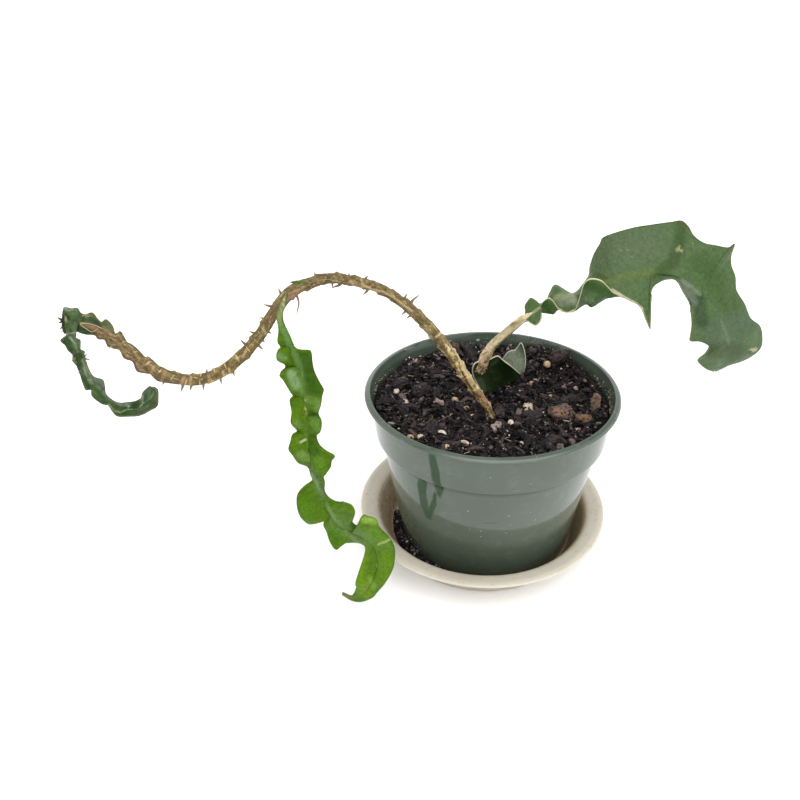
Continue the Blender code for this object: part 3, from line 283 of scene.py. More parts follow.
# The small leaf-like joint at the soil: its two flaps rise from a fold that lies on the soil
BASE_FOLD = ((-0.5, 14, 97), (4.5, 15, 99), (10.5, 16.5, 101), (16, 18, 103.5), (22.5, 20, 108))
BASE_FRONT = (
    (-3.5, 13, 98.5), (-6.5, 12, 105.5), (-9.5, 11.5, 112), (-10.5, 11, 118), (-9, 10.5, 122.5),
    (-5, 10, 124.5), (-1, 9, 125.5), (4.5, 9, 128), (8.5, 10.5, 124), (14.5, 13, 118),
    (21.5, 17.8, 109),
)
BASE_REAR = (
    (2, 18, 99), (0, 22, 103), (2.5, 26, 107), (9.5, 27.5, 113.5), (13, 27.5, 119.5),
    (16, 27, 122), (18.5, 27, 122.5), (22, 27.5, 127), (24, 25.5, 123.5), (25, 23.5, 118),
    (24.7, 22, 112.5), (23.8, 21.8, 108.6),
)
BASE_STUB = ((6, 14.5, 76, 1.4), (2.5, 14, 88, 2.0), (-0.5, 13.5, 96, 2.2), (-1.5, 13, 99, 0.9))
BASE_STUB_TONE = (62, 52, 44)

# The woody stem that leaves it, and the broad joint at its end
STALK = (
    (-5.6, 11.6, 115, 1.2), (-5.0, 11.5, 118.5, 2.3), (-2.7, 11, 125, 2.6), (0.5, 9.5, 133.5, 2.4),
    (5, 7.5, 140, 2.3), (10, 4.5, 147, 2.2), (15, -1, 155.5, 2.0), (20, -3.2, 160, 1.4),
    (25, -4.8, 163.6, 0.6),
)
STALK_SWELL = 1.16
STALK_NODE = 10  # how far from its foot it is thickest
STALK_NODE_LENGTH = 5
RIGHT_MIDRIB = (
    (14, 0, 154.5), (20, -3, 160), (26, -5, 164.5), (31, -6, 168.5), (36.5, -7, 171),
    (41.5, -7, 172.5), (46.5, -7, 174.5), (52.5, -8, 178), (60, -8, 181), (70, -8, 183.5),
    (81, -8, 184.5), (92, -8, 184), (102, -9, 181), (112, -10, 173), (120, -10, 165),
    (127, -10, 156), (133.5, -9, 145.5), (136.5, -8, 136.5), (135, -7, 128.5),
    (132.5, -6, 121.5),
)
RIGHT_UPPER = (
    (13.5, 1, 156), (18, 0, 159.5), (18, 2, 163.5), (19.5, 3, 166), (21.5, 4, 167.5),
    (24.5, 3, 166), (26.5, 0, 165.5), (30, 0, 168.5), (32, 3, 171), (35, 6, 174.2),
    (39, 5, 172.5), (43, 0, 170.7), (46.5, -1, 172.5), (50, 2, 175.5), (54, 6, 179.5),
    (55, 9, 184), (57, 11, 190.5), (60, 12, 196.5), (61, 12, 199.5), (65.5, 11, 202),
    (76.5, 10, 205.5), (88, 9, 207.5), (97, 9, 208.5), (102.5, 9, 209), (106.5, 8, 206),
    (109.5, 5, 201.5), (115, 3, 198), (121.5, 3, 196.5), (129, 3, 195), (132, 3, 197),
    (131, 2, 191), (131.5, 0, 185.5), (134.5, -1, 179.5), (136.5, -2, 171.5), (143, -2, 163),
    (149, -1, 153.5), (157, 1, 147), (161.5, 3, 138), (162, 3, 131), (157.5, 2, 126.5),
    (150.5, 0, 124), (144.5, -1, 123), (139, -3, 121.5), (134, -5, 120.5),
)
# The lower margin also has how far that half of the joint sags below a straight line
RIGHT_LOWER = (
    (15.5, -1.5, 154, 0), (18.5, -5, 157, 0), (20, -8, 157, 0), (22.5, -10, 156.5, 0),
    (25, -9, 158, 0), (26, -8, 161.5, 0), (25, -8, 166, 2), (24.5, -11, 171, 5),
    (27.5, -13, 175, 8), (30.5, -13, 173, 7), (34.5, -12, 167.5, 2), (38.5, -12, 165, 0),
    (42.5, -14, 167, 3), (43.2, -16, 172, 6), (43.8, -17.5, 178.5, 8), (44.8, -18.5, 185, 10),
    (47.5, -20, 188.5, 13), (53, -20, 187.5, 11), (57.5, -19, 183.5, 8), (61.5, -18, 179.5, 6),
    (67, -17, 176.5, 4), (72, -17, 173.5, 3.5), (76.5, -17.5, 171, 3), (79.5, -18.5, 166.5, 2),
    (81.5, -19.5, 162, 1), (84, -21, 157.5, 0), (83, -19, 163.5, 0), (83, -16.5, 171, 0),
    (83.5, -14, 175, 0), (85, -12, 178.5, 0), (89, -11, 181.5, 0), (93.5, -11, 183, 0),
    (97, -13, 183, 0), (100.5, -15, 178, 3), (104, -16, 172.5, 4), (106.5, -17, 165.5, 3),
    (108, -18, 158, 1), (108, -19, 152, 0), (108.5, -19, 148.5, 0), (114.5, -17, 147, 0),
    (120.5, -14, 143.5, 0), (123, -12.5, 140.5, 0), (120, -14, 136.5, 0), (116.5, -16, 134.5, 0),
    (120, -14, 130, 0), (125.5, -11, 125.5, 0), (131, -8, 122, 0),
)
SAG_DIRECTION = Vector((0, -0.4, -0.92))

# Litter on the soil: how many pieces, least and greatest size, how far each is raised as a
# share of its size, and how often a ball's edges are split for one
LITTER_LAYERS = (
    (560, 1.2, 3.2, 0.12, 1),
    (300, 2.6, 6.0, 0.10, 1),
    (1400, 0.6, 1.3, 0.9, 0),
)
# How far the bed of soil and the litter on it stay from the pot's wall
BED_CLEAR = 1.1
LITTER_CLEAR = 1.6
# Patches of darker and paler soil: their size, the tone of the darkest, how much paler the
# palest is, and how much paler the soil is painted towards the back as painted light from
# behind, from one y to another
PATCH_SIZE = 9.0
PATCH_DARKEST = 0.3
PATCH_RANGE = 1.05
BACK_PAINTED_LIGHT = 0.8
BACK_FROM = 5
BACK_TO = 45
SPLINTERS = 5100
SPLINTER_SHORTEST = 1.4
SPLINTER_RANGE = 6.0
PALE_LENGTH = 3.0  # longer splinters than this are darker
FIBRES = 120
FIBRE_LENGTHS = (3, 11)
SLABS = 170
SLAB_LENGTHS = (5, 12)
PEAT_LENGTHS = (1, 3.2)
PEAT_ON_BARK = 44  # splinters on each large piece of bark
SLAB_TONES = ((30, 26, 28), (44, 37, 38), (58, 48, 48), (38, 33, 35), (74, 62, 60), (24, 21, 23))
SPECKS = 260
SPECK_SIZES = (0.5, 1.3)
# Debris on the pot's inner wall: from and to in degrees round the pot, and how many
WALL_DEBRIS = ((-20, 16, 90), (148, 176, 40), (40, 110, 30))
DEBRIS_RISE = 2.2  # spread of its heights above the soil
DEBRIS_SHADE = 0.6
DEBRIS_SIZES = (0.5, 1.2)
# Litter on the spilled soil: kind, how many, how far raised, least and greatest size
TROUGH_LITTER = (("crumbs", 420, 0.3, 0.7, 2.4), ("splinters", 500, 0.4, 0.8, 3.0))

# Colours, as the red, green and blue of a picture from 0 to 255
SOIL_GROUND = (17, 14, 15)
SOIL_TONES = (
    (15, 13, 15), (22, 19, 21), (32, 28, 30), (48, 41, 42), (70, 60, 60), (98, 86, 84),
    (130, 115, 112), (158, 142, 135), (184, 166, 150), (206, 186, 160),
)
SOIL_TONE_SHARES = (0.36, 0.2, 0.12, 0.095, 0.085, 0.065, 0.044, 0.024, 0.01, 0.004)
BARK_COLOURS = (
    (48, 40, 40), (104, 86, 80), (120, 90, 68), (112, 90, 76), (42, 37, 39), (92, 70, 60),
    (40, 34, 35), (48, 40, 40), (44, 37, 38), (46, 39, 39), (56, 47, 46), (50, 43, 44),
    (56, 44, 43),
)
# Paint on the bark: the top of a grey-brown chunk is orange
BARK_STROKES = (
    (3.5, (168, 128, 92), 0.7, (556, 411), (566, 413)),
    (5, (74, 60, 58), 0.7, (551, 420), (572, 424)),
)
GRIT_COLOURS = (
    (206, 180, 142), (190, 160, 130), (216, 200, 168), (190, 160, 142), (224, 214, 198),
)
SPECK_COLOURS = ((226, 218, 204), (204, 186, 156), (182, 150, 130), (160, 150, 138))
BARK_PORE = (13, 11, 12)
BARK_FIBRE = (136, 126, 124)
BARK_RUST = (84, 60, 64)
SOIL_IN_GRIT = (110, 84, 62)
POT_GREEN = (72, 84, 72)
POT_GREEN_DEEP = (62, 75, 63)
POT_DUST = (128, 136, 128)
POT_FLECK = (196, 200, 190)
# Painted reflection of the hanging branch on the pot
PAINTED_REFLECTION_GREEN = (50, 74, 46)
# Painted shade under the pot's shoulder ledge
PAINTED_LEDGE_SHADE = (20, 28, 20)
WALL_GRIME_DARK = (44, 38, 34)
WALL_GRIME_PALE = (150, 136, 108)
# Marks on the pot: middle in mm, half sizes along the axes, colour, strength
POT_SPOTS = (
    ((-58.7, -29.6, 68), (1.0, 1.4, 4.2), (16, 18, 14), 0.95),
    ((-6, -64, 58), (5.0, 2, 1.0), (34, 42, 34), 0.35),
    ((-18.8, -62.7, 66.4), (0.5, 0.8, 0.4), (170, 182, 170), 0.6),
    ((4.4, -64.9, 63.8), (0.4, 0.8, 0.5), (166, 178, 166), 0.6),
    ((-10.8, -62.2, 50.6), (0.4, 0.8, 0.5), (166, 178, 166), 0.6),
    ((0.2, 72.2, 106.9), (1.4, 1.2, 0.8), (196, 206, 196), 0.7),
)
# Painted reflection of the hanging branch: dark streaks on the pot's left front, also less
# glossy there: from, to, half width
PAINTED_REFLECTION_STREAKS = (
    ((-44.0, -50.8, 79.6), (-44.6, -49.0, 72.8), 3.2),
    ((-44.6, -49.0, 72.8), (-43.2, -47.9, 58.3), 3.0),
    ((-43.2, -47.9, 58.3), (-40.9, -48.3, 51.0), 2.4),
    ((-37.0, -54.9, 79.9), (-36.7, -54.5, 73.7), 0.9),
    ((-36.7, -54.5, 73.7), (-37.4, -53.0, 65.4), 1.3),
    ((-37.4, -53.0, 65.4), (-40.9, -48.3, 50.6), 1.8),
)
SAUCER_CREAM = (206, 199, 184)
SAUCER_CREAM_DEEP = (194, 185, 170)
SAUCER_STAIN = (206, 182, 146)
SAUCER_STAIN_DEEP = (172, 144, 106)
# Painted shade on the right of the saucer's trough, beside the pot
SAUCER_RIGHT_SHADE = (150, 128, 90)
# Painted shade on the saucer's outer wall below the flange
SAUCER_FOOT_SHADE = (166, 160, 146)
SAUCER_GRIME = (172, 160, 142)
SAUCER_SPECK = (84, 68, 54)
FLOOR_TONES = ((250, 250, 250), (255, 255, 255))
WING_TONE = (140, 124, 90)
WING_EDGE_TONE = (104, 82, 68)
STALK_TONE = (236, 214, 172)
ROOTLET_TONE = (140, 122, 98)
LONG_ROOT_TONE = (144, 118, 108)
NET_TONE = (206, 184, 130)
# Painted shade beside the pale scale lips
NET_LIP_SHADE = (80, 60, 34)
WOOD_CLOUD = (96, 80, 46)
WOOD_OLIVE = (104, 100, 52)
WOOD_ROSY = (164, 112, 82)
# Painted shade in the recesses of the cane's bark
WOOD_RECESS_SHADE = (74, 56, 30)
WOOD_FIBRE = (74, 58, 34)
WOOD_FLECK = (204, 182, 136)
WOOD_FLECK_DARK = (78, 66, 38)
STALK_FLAKES = 60
FLAKES_OUT = 2.9  # from the stalk's middle line
FLAKE_SIZES = (0.9, 2.6)
FLAKE_TONES = ((206, 178, 146), (186, 146, 122), (214, 196, 164), (152, 122, 100), (190, 164, 130))
# The cane's tone at distances from its buried end
CANE_TONES = (
    (0, (96, 74, 56)), (28, (176, 138, 104)), (40, (204, 162, 114)), (50, (220, 184, 124)),
    (75, (206, 180, 116)), (100, (154, 138, 92)), (130, (134, 122, 82)), (185, (130, 116, 80)),
    (230, (138, 122, 78)), (300, (140, 122, 82)),
)
DRY_TONES = {
    "deep": (118, 96, 66), "pale": (150, 128, 86), "dust": (112, 110, 66),
    "vein": (172, 150, 108), "margin": (132, 98, 84), "roughness": 0.62, "shine": 0.2,
}
DARK_GREENS = {
    "deep": (82, 106, 64), "pale": (92, 116, 76), "dust": (106, 126, 92),
    "vein": (114, 132, 84), "margin": (222, 214, 178), "vein_strength": 0.12, "mottle": 0.06,
}
MOTTLE_DARK = (36, 54, 22)
TIP_GREENS = {
    "deep": (58, 80, 40), "pale": (78, 102, 60), "dust": (104, 124, 92),
    "vein": (90, 114, 72), "margin": (140, 138, 104), "vein_strength": 0.1, "mottle": 0.5,
}
BRIGHT_GREENS = {
    "deep": (78, 110, 18), "pale": (98, 134, 32), "dust": (112, 146, 52),
    "vein": (122, 150, 86), "margin": (104, 134, 52), "vein_strength": 0.35, "shine": 0.08,
}
BASE_GREENS = {
    "deep": (42, 54, 34), "pale": (52, 66, 44), "dust": (78, 90, 72),
    "vein": (52, 68, 42), "margin": (226, 218, 190), "margin_width": 0.55, "vein_strength": 0.0,
}

# A dry bract at the tip of the cane: the rolled edges and the strip between them
DRY_EDGES = (
    ((-200.2, -80, 197.9, 0.2), (-197, -80, 198.4, 0.25), (-194.3, -79.5, 197.3, 0.25),
     (-191.5, -79, 195.5, 0.22), (-189, -78.5, 193.5, 0.1)),
    ((-200.2, -80, 197.9, 0.2), (-198, -80, 195.9, 0.25), (-195.8, -80, 194.1, 0.28),
     (-193.4, -79.5, 195.0, 0.2), (-192.6, -79, 196, 0.1)),
    ((-202.1, -72, 198, 0.12), (-200.9, -72, 199, 0.2), (-199.2, -72, 198.1, 0.2),
     (-197.8, -72, 198.6, 0.12)),
)
DRY_EDGE_TONE = (184, 164, 126)
DRY_MIDDLE = ((-199.4, -79, 197.5, 0.4), (-197, -79, 196.8, 1.1), (-194.8, -79, 195.8, 1.3),
              (-193, -78.6, 195.4, 0.5))
DRY_MIDDLE_TONE = (142, 120, 88)
# Tips of the dark rootlets at the left end, and the x and the height near which they start
END_EDGE = -210.4
END_HEIGHT = 195.0
END_ROOTLETS = (
    (-213.2, -73, 195.8), (-213.4, -73, 192.7), (-212.2, -73, 197.7), (-212.7, -73, 191.0),
    (-212.4, -74, 199.0), (-212.8, -72, 189.4),
)
END_ROOTLET_TONE = (52, 46, 40)
# Bristles on the tip: near where each starts, and where it ends
TIP_BRISTLES = (
    ((-199.6, -86.0, 181.8), (-196.6, -87.0, 183.0)),
    ((-199.6, -86.0, 184.4), (-197.0, -87.0, 186.1)),
    ((-202.5, -89.0, 185.8), (-203.8, -90.0, 184.6)),
    ((-202.2, -89.0, 183.5), (-203.2, -90.0, 182.5)),
    ((-200.8, -91.0, 179.9), (-201.7, -92.0, 179.2)),
    ((-208.7, -80.0, 189.8), (-209.4, -81.0, 191.9)),
    ((-198.7, -93.0, 172.5), (-199.6, -94.0, 172.1)),
)
BRISTLE_TONE = (128, 124, 100)
# A sliver of green shoot on the arch
ARCH_SLIVER = (
    (-105.4, -62.9, 208.4, 0.25), (-103, -63.0, 208.5, 0.7), (-100.5, -62.5, 208.2, 0.8),
    (-98.0, -61.3, 207.2, 0.6), (-97.2, -60.6, 206.4, 0.3),
)
SLIVER_TONE = (98, 122, 60)

# Where a margin shows: side, from and to along the midrib, strength
MARGIN_FADE = 2  # half the length over which each end of such a stretch fades
END_MARGINS = ((1, 0, 40, 0.5), (-1, 0, 40, 0.2))
TIP_MARGINS = ((1, 0, 80, 0.35), (-1, 0, 80, 0.35))
HANGING_MARGINS = ((1, 0, 400, 0.4), (-1, 0, 400, 0.4))
BASE_MARGINS = ((1, -5, 60, 1.0), (-1, -5, 60, 1.0))
RIGHT_MARGINS = ((1, 0, 400, 0.0), (-1, 0, 58, 1.0), (-1, 60, 400, 0.15))

# Paint on the stems and leaves where the photograph shows it: their own marks, and also painted
# sheen, highlights and shade. Each stroke is its radius in pixels, colour, strength, and the
# pixels that the stroke runs through
CANE_STROKES = (
    (1.2, (96, 78, 54), 0.8, (462, 372), (466, 380), (472, 388)),
    (1.2, (98, 80, 54), 0.8, (446, 352), (451, 360), (456, 368)),
    (1.3, (232, 212, 160), 0.8, (457, 363), (462, 370)),
    (1.3, (232, 210, 156), 0.8, (469, 381), (474, 388)),
    (1.2, (226, 204, 160), 0.8, (468, 372), (474, 380), (482, 390)),
    (1.4, (104, 84, 60), 0.8, (474, 392), (480, 397)),
    (1.3, (120, 96, 72), 0.8, (470, 366), (476, 376), (484, 388)),
    (3, (210, 172, 138), 0.4, (484, 398), (492, 407)),
    (3, (124, 100, 78), 0.6, (489, 402), (494, 412)),
    (4, (118, 92, 72), 0.5, (271, 313), (278, 304)),
    (1.6, (196, 170, 124), 0.8, (229, 369), (232, 379)),
    (1.6, (194, 166, 120), 0.8, (223, 372), (225, 380)),
    (1.8, (190, 156, 116), 0.7, (209, 376), (210, 385)),
    (2.2, (196, 158, 122), 0.7, (184, 378), (181, 385)),
    (1.4, (198, 174, 122), 0.8, (191, 377), (190, 386)),
    (2.0, (190, 156, 112), 0.7, (165, 371), (162, 380)),
    (1.6, (196, 170, 122), 0.7, (154, 366), (151, 374)),
    (1.4, (196, 168, 124), 0.8, (246, 350), (243, 357)),
    (1.2, (198, 174, 130), 0.8, (262, 328), (266, 333)),
    (2, (176, 140, 108), 0.5, (284, 302), (296, 294), (306, 290)),
    (3, (168, 146, 112), 0.5, (405, 306), (414, 315)),
    (2.0, (180, 154, 118), 0.6, (351, 282), (362, 286)),
    (3, (206, 184, 140), 0.5, (424, 330), (432, 340)),
    (3, (206, 184, 140), 0.5, (440, 352), (450, 362)),
    (3, (100, 86, 60), 0.5, (436, 336), (442, 346)),
    (4, (104, 98, 66), 0.4, (398, 300), (420, 322)),
    (2.5, (188, 150, 118), 0.5, (101, 326), (112, 334)),
    (1.3, (206, 180, 134), 1.0,
     (362, 284), (373, 290), (383, 291.5), (393, 297), (402, 304), (412, 311)),
    (1.3, (192, 166, 124), 0.9, (351, 281), (353, 285), (357, 287)),
    (1.3, (192, 166, 124), 0.9, (361, 279), (364, 286), (358, 290)),
    (1.4, (190, 156, 116), 0.6, (288, 294), (298, 290.5), (304, 287)),
    # A painted highlight along the top of the arch
    (1.3, (184, 174, 142), 0.6, (304, 277), (316, 272.5), (334, 271), (348, 273)),
    (1.3, (214, 194, 150), 1.0, (436, 337), (440, 334), (442, 331)),
    (1.3, (222, 202, 158), 1.0, (431, 341), (434, 346), (441, 351)),
    (1.3, (222, 202, 158), 1.0, (452, 347), (457, 352), (460, 360), (462, 364)),
    (1.3, (218, 198, 150), 1.0, (448, 350), (452, 355), (456, 354)),
    (1.3, (214, 190, 140), 0.9, (463, 364), (467, 372), (468, 378), (473, 384)),
    (1.8, (104, 88, 58), 0.7, (434, 341), (437, 343)),
    (2.2, (108, 90, 60), 0.7, (442, 348), (446, 351)),
    (2.4, (104, 86, 60), 0.7, (449, 358), (454, 364)),
    (1.3, (96, 74, 52), 0.8, (459, 366), (463, 373)),
    (1.3, (98, 78, 54), 0.8, (466, 380), (470, 387)),
    (1.3, (100, 78, 56), 0.8, (474, 386), (478, 392)),
    (1.2, (236, 220, 180), 0.9, (446, 345), (450, 349)),
    (1.2, (232, 214, 172), 0.9, (462, 369), (466, 372), (468, 377)),
    (1.2, (232, 212, 168), 0.9, (472, 379), (476, 383), (478, 388)),
    (1.2, (116, 94, 62), 0.7, (455, 368), (459, 374)),
    (2.2, (100, 80, 64), 0.7, (483, 402), (488, 405)),
    (1.8, (172, 128, 104), 0.7, (484, 397), (490, 406)),
    (0.9, (126, 96, 74), 0.7, (479, 394), (481, 397)),
    (1.2, (224, 184, 140), 0.6, (488, 400), (492, 407), (496, 413)),
)
STALK_STROKES = (
    (1.6, (226, 206, 168), 0.8, (481, 362), (486, 352), (494, 344)),
    # Painted shade: a dark brown line along the stalk's lower, shaded edge
    (2.0, (104, 84, 62), 0.95, (496, 348), (505, 341), (512, 335), (519, 330), (528, 324)),
    (1.8, (120, 104, 80), 0.8, (482, 347), (490, 340), (498, 335), (507, 328), (515, 323)),
    (1.5, (240, 226, 190), 0.95, (480, 360), (490, 348), (502, 338), (515, 328), (528, 319)),
    (1.4, (236, 222, 190), 0.9, (473, 366), (475, 357), (479, 350)),
    (1.6, (126, 92, 74), 0.9, (488, 358), (486, 366), (482, 371)),
    (1.4, (208, 166, 140), 0.9, (484, 356), (481, 364)),
    (3.5, (216, 204, 172), 0.6, (476, 356), (482, 345), (494, 335), (508, 326)),
    (2.4, (222, 184, 150), 0.5, (486, 356), (482, 364)),
    (1.2, (216, 204, 170), 0.8, (474, 366), (475, 360), (482, 350), (492, 339)),
    (1.2, (124, 92, 72), 0.7, (484, 354), (487, 352)),
    (1.2, (244, 222, 192), 0.9, (480, 354), (484, 351)),
    (1.2, (112, 82, 64), 0.9, (479, 359), (481, 364)),
    (1.2, (246, 220, 190), 0.9, (476, 362), (477, 368)),
    (1.2, (236, 200, 172), 0.9, (483, 361), (485, 366)),
    (1.3, (112, 84, 66), 0.9, (477, 361), (479, 366), (483, 368)),
    (1.3, (122, 92, 74), 0.9, (484, 363), (487, 360)),
    (1.5, (240, 212, 180), 0.9, (480, 359), (483, 365), (487, 366)),
    (1.2, (236, 210, 176), 0.8, (486, 351), (490, 348)),
    # Painted shade along the stalk's lower edge
    (1.4, (114, 92, 68), 0.6, (489, 357), (493, 352), (497, 347)),
    (1.6, (116, 98, 68), 0.6, (499, 346), (508, 337), (520, 328)),
    (1.2, (214, 200, 158), 0.6, (497, 338), (508, 329), (520, 322)),
    (1.6, (92, 82, 62), 0.5, (477, 371), (487, 371)),
)
END_STROKES = (
    (3.2, (42, 56, 34), 0.9, (68, 316), (70, 330)),
    (3.6, (48, 66, 38), 0.8, (77, 324), (86, 331)),
    (2.6, (50, 66, 40), 0.8, (75, 310), (80, 317)),
    (3.0, (46, 62, 36), 0.8, (92, 319), (100, 324)),
    (1.4, (128, 116, 96), 0.9, (80, 308), (86, 313), (92, 317), (99, 312)),
    (1.2, (176, 168, 136), 0.9, (66, 318), (67, 320)),
    (1.2, (176, 168, 136), 0.9, (67, 324), (68, 325)),
    (2.5, (160, 166, 146), 0.7, (66, 309), (72, 311), (76, 309)),
    (2.0, (186, 182, 140), 0.8, (67, 321), (68, 322)),
    (2.0, (186, 182, 140), 0.8, (67, 327), (68, 326)),
    (2.2, (56, 40, 26), 0.8, (64, 318), (64.5, 334)),
    (3.5, (44, 70, 28), 0.6, (70, 322), (80, 328)),
    (4, (86, 108, 72), 0.5, (74, 316), (92, 320)),
    (2.5, (150, 150, 104), 0.6, (84, 315), (88, 317), (91, 314)),
    (3, (110, 106, 72), 0.6, (96, 312), (104, 322)),
    (3, (120, 112, 74), 0.5, (107, 322), (112, 330)),
    (1.4, (126, 108, 88), 0.7, (103, 313), (108, 317), (113, 326)),
    (1.4, (120, 106, 84), 0.6, (90, 310), (95, 312), (99, 318)),
    (2.4, (66, 52, 38), 0.6, (64, 333), (69, 336)),
    (5, (62, 88, 44), 0.5, (74, 320), (84, 330)),
    (2, (52, 70, 34), 0.6, (90, 318), (98, 326), (106, 332)),
    (3, (56, 78, 36), 0.7, (66, 330), (76, 333)),
    (2.4, (98, 120, 78), 0.6, (70, 314), (79, 312)),
    (2.4, (92, 110, 70), 0.6, (98, 318), (104, 326)),
    (1.6, (132, 122, 88), 0.7, (104, 327), (111, 333)),
    (1.6, (62, 52, 38), 0.7, (86, 330), (94, 334)),
)
TIP_STROKES = (
    (2.4, (48, 62, 38), 0.8, (64, 340), (67, 350)),
    (2.6, (50, 66, 40), 0.8, (72, 350), (77, 360), (80, 372)),
    (2.2, (54, 70, 44), 0.8, (90, 372), (98, 388)),
    (1.3, (150, 156, 132), 0.8, (70, 337), (76, 344), (78, 352)),
    (1.3, (150, 156, 132), 0.7, (82, 360), (86, 372), (92, 384)),
    (6, (92, 114, 82), 0.7, (78, 330), (82, 342)),
    (1.3, (170, 164, 128), 0.5, (62, 337), (70, 334), (75, 333)),
    (3, (46, 66, 30), 0.7, (63, 343), (70, 348)),
    # Painted sheen: a pale bluish-grey glaze along the tip's inner side and on its right lobe
    (3.0, (136, 148, 130), 0.6, (88, 366), (96, 384), (107, 397), (120, 404), (130, 405)),
    (4, (120, 130, 108), 0.7, (99, 380), (102, 385)),
    (4.5, (44, 64, 30), 0.7, (134, 406), (141, 399)),
    (1.0, (176, 186, 138), 0.8, (108, 405), (114, 411), (121, 413), (128, 410), (129, 407)),
    (0.9, (172, 182, 134), 0.7, (128, 410.5), (139, 410), (144, 404), (144, 396)),
    (0.9, (130, 150, 100), 0.6, (145, 404), (152, 398), (155, 392)),
    (5, (112, 134, 98), 0.6, (80, 338), (86, 350), (90, 362)),
    (1.3, (176, 170, 134), 0.6, (60, 341), (64, 346)),
    (1.2, (170, 164, 130), 0.6, (66, 347), (70, 353)),
    (1.2, (164, 158, 124), 0.6, (72, 355), (75, 361)),
    (1.1, (150, 146, 112), 0.6, (76, 366), (79, 374)),
    (1.1, (150, 146, 112), 0.5, (83, 384), (88, 389), (93, 391)),
    (1.1, (164, 160, 126), 0.5, (84, 343), (87, 351)),
    (5, (56, 84, 40), 0.5, (88, 385), (104, 403), (122, 414), (146, 411)),
    (2.2, (50, 72, 34), 0.7, (68, 340), (70, 350)),
    (2.2, (52, 74, 36), 0.7, (79, 354), (82, 366)),
    (2.0, (96, 118, 76), 0.6, (75, 345), (80, 352)),
    (2.0, (50, 72, 34), 0.7, (84, 376), (90, 388)),
    (1.6, (106, 126, 84), 0.6, (86, 368), (90, 378)),
)
# Painted sheen and shade on the hanging branch: its pale milky strokes along the midrib and on the
# lobes' humps are painted sheen, its dark saturated ones painted shade; the small cream dots are
# its own scars
HANGING_SHEEN_SHADE_AND_MARKS = (
    (5, (140, 140, 92), 0.9, (287, 294), (283, 304)),
    (4.5, (132, 146, 96), 0.8, (282, 304), (280, 315)),
    (1.2, (206, 202, 166), 0.8, (284, 299), (284.5, 300)),
    (1.1, (206, 204, 166), 0.8, (283, 304), (284, 305.5)),
    (1.0, (196, 196, 156), 0.7, (281, 309), (281.5, 311)),
    (0.8, (196, 190, 150), 0.7, (286, 296), (287, 296.5)),
    (3, (150, 160, 110), 0.5, (280, 316), (281, 324)),
    (9, (58, 92, 6), 0.75, (304, 356), (311, 372), (317, 388)),
    (5, (70, 104, 16), 0.6, (286, 333), (289, 345)),
    (4, (118, 156, 88), 0.7, (283, 325), (291, 347), (298, 360), (302, 376), (303, 392)),
    (4, (122, 156, 92), 0.7, (280, 356), (283, 357)),
    (5, (142, 172, 120), 0.8, (291, 374), (296, 385)),
    (4, (112, 146, 76), 0.7, (309, 398), (318, 402)),
    (3.5, (128, 158, 96), 0.6, (318, 407), (318, 409)),
    (4, (60, 90, 14), 0.7, (311, 412), (316, 416)),
    (4, (116, 150, 78), 0.6, (296, 422), (298, 425)),
    (5, (110, 146, 66), 0.7, (315, 421), (319, 428)),
    (3, (110, 140, 62), 0.6, (306, 400), (306, 424), (308, 446)),
    (5, (130, 164, 88), 0.6, (301, 454), (306, 457)),
    (6, (62, 96, 4), 0.7, (312, 438), (317, 452)),
    (5, (104, 146, 44), 0.7, (320, 458), (322, 464)),
    (5, (92, 134, 10), 0.6, (319, 473), (325, 470)),
    (6, (92, 118, 74), 0.8, (311, 470), (318, 482), (322, 494)),
    (8, (82, 118, 34), 0.6, (303, 494), (312, 498)),
    (8, (88, 128, 4), 0.75, (305, 508), (310, 518)),
    (2.4, (132, 158, 100), 0.8, (313, 474), (323, 497), (335, 517), (348, 534), (364, 546)),
    (6, (96, 130, 54), 0.6, (340, 508), (350, 518)),
    (4, (82, 120, 10), 0.6, (324, 499), (338, 504)),
    (9, (104, 136, 72), 0.7, (336, 524), (352, 532), (366, 538)),
    (5, (80, 124, 8), 0.7, (332, 532), (336, 543)),
    (4, (150, 184, 82), 0.8, (364, 519), (374, 520)),
    (8, (108, 146, 58), 0.6, (374, 532), (386, 546)),
    (9, (128, 160, 44), 0.6, (360, 556), (356, 580), (366, 590)),
    (8, (104, 142, 20), 0.8, (386, 556), (384, 576)),
    (4, (134, 172, 66), 0.6, (370, 578), (374, 586)),
    (5, (104, 148, 14), 0.7, (360, 562), (357, 588)),
    (3, (128, 132, 92), 0.9, (343, 594), (350, 597)),
    (1.4, (206, 206, 150), 0.9, (306, 399), (306.5, 399.5)),
    (1.4, (206, 206, 150), 0.9, (304.5, 408), (305, 406)),
    (1.4, (206, 206, 150), 0.9, (306, 413), (306, 412)),
    (1.2, (212, 216, 170), 0.9, (300, 442), (304, 439)),
    (1.5, (200, 206, 140), 0.8, (377, 563), (377, 565)),
    (1.3, (178, 198, 122), 0.7, (379, 543), (386, 541), (392, 537)),
)
# Painted light and shade on the small joint's front flap: a lighter left part with a painted
# highlight, and painted shade on its darker right part
BASE_FRONT_LIGHT_AND_SHADE = (
    (13, (70, 82, 60), 0.55, (480, 374), (484, 398)),
    (4, (104, 116, 94), 0.6, (480, 380), (483, 392)),
    (7, (38, 48, 30), 0.8, (499, 362), (508, 374)),
    (2.0, (84, 100, 70), 0.5, (492, 364), (497, 360)),
    (3, (62, 80, 50), 0.5, (499, 355), (508, 356)),
)
# Painted light: the small joint's rear flap is painted paler, as lit from above
BASE_REAR_LIGHT = (
    (12, (140, 152, 128), 0.95, (508, 350), (516, 364)),
)
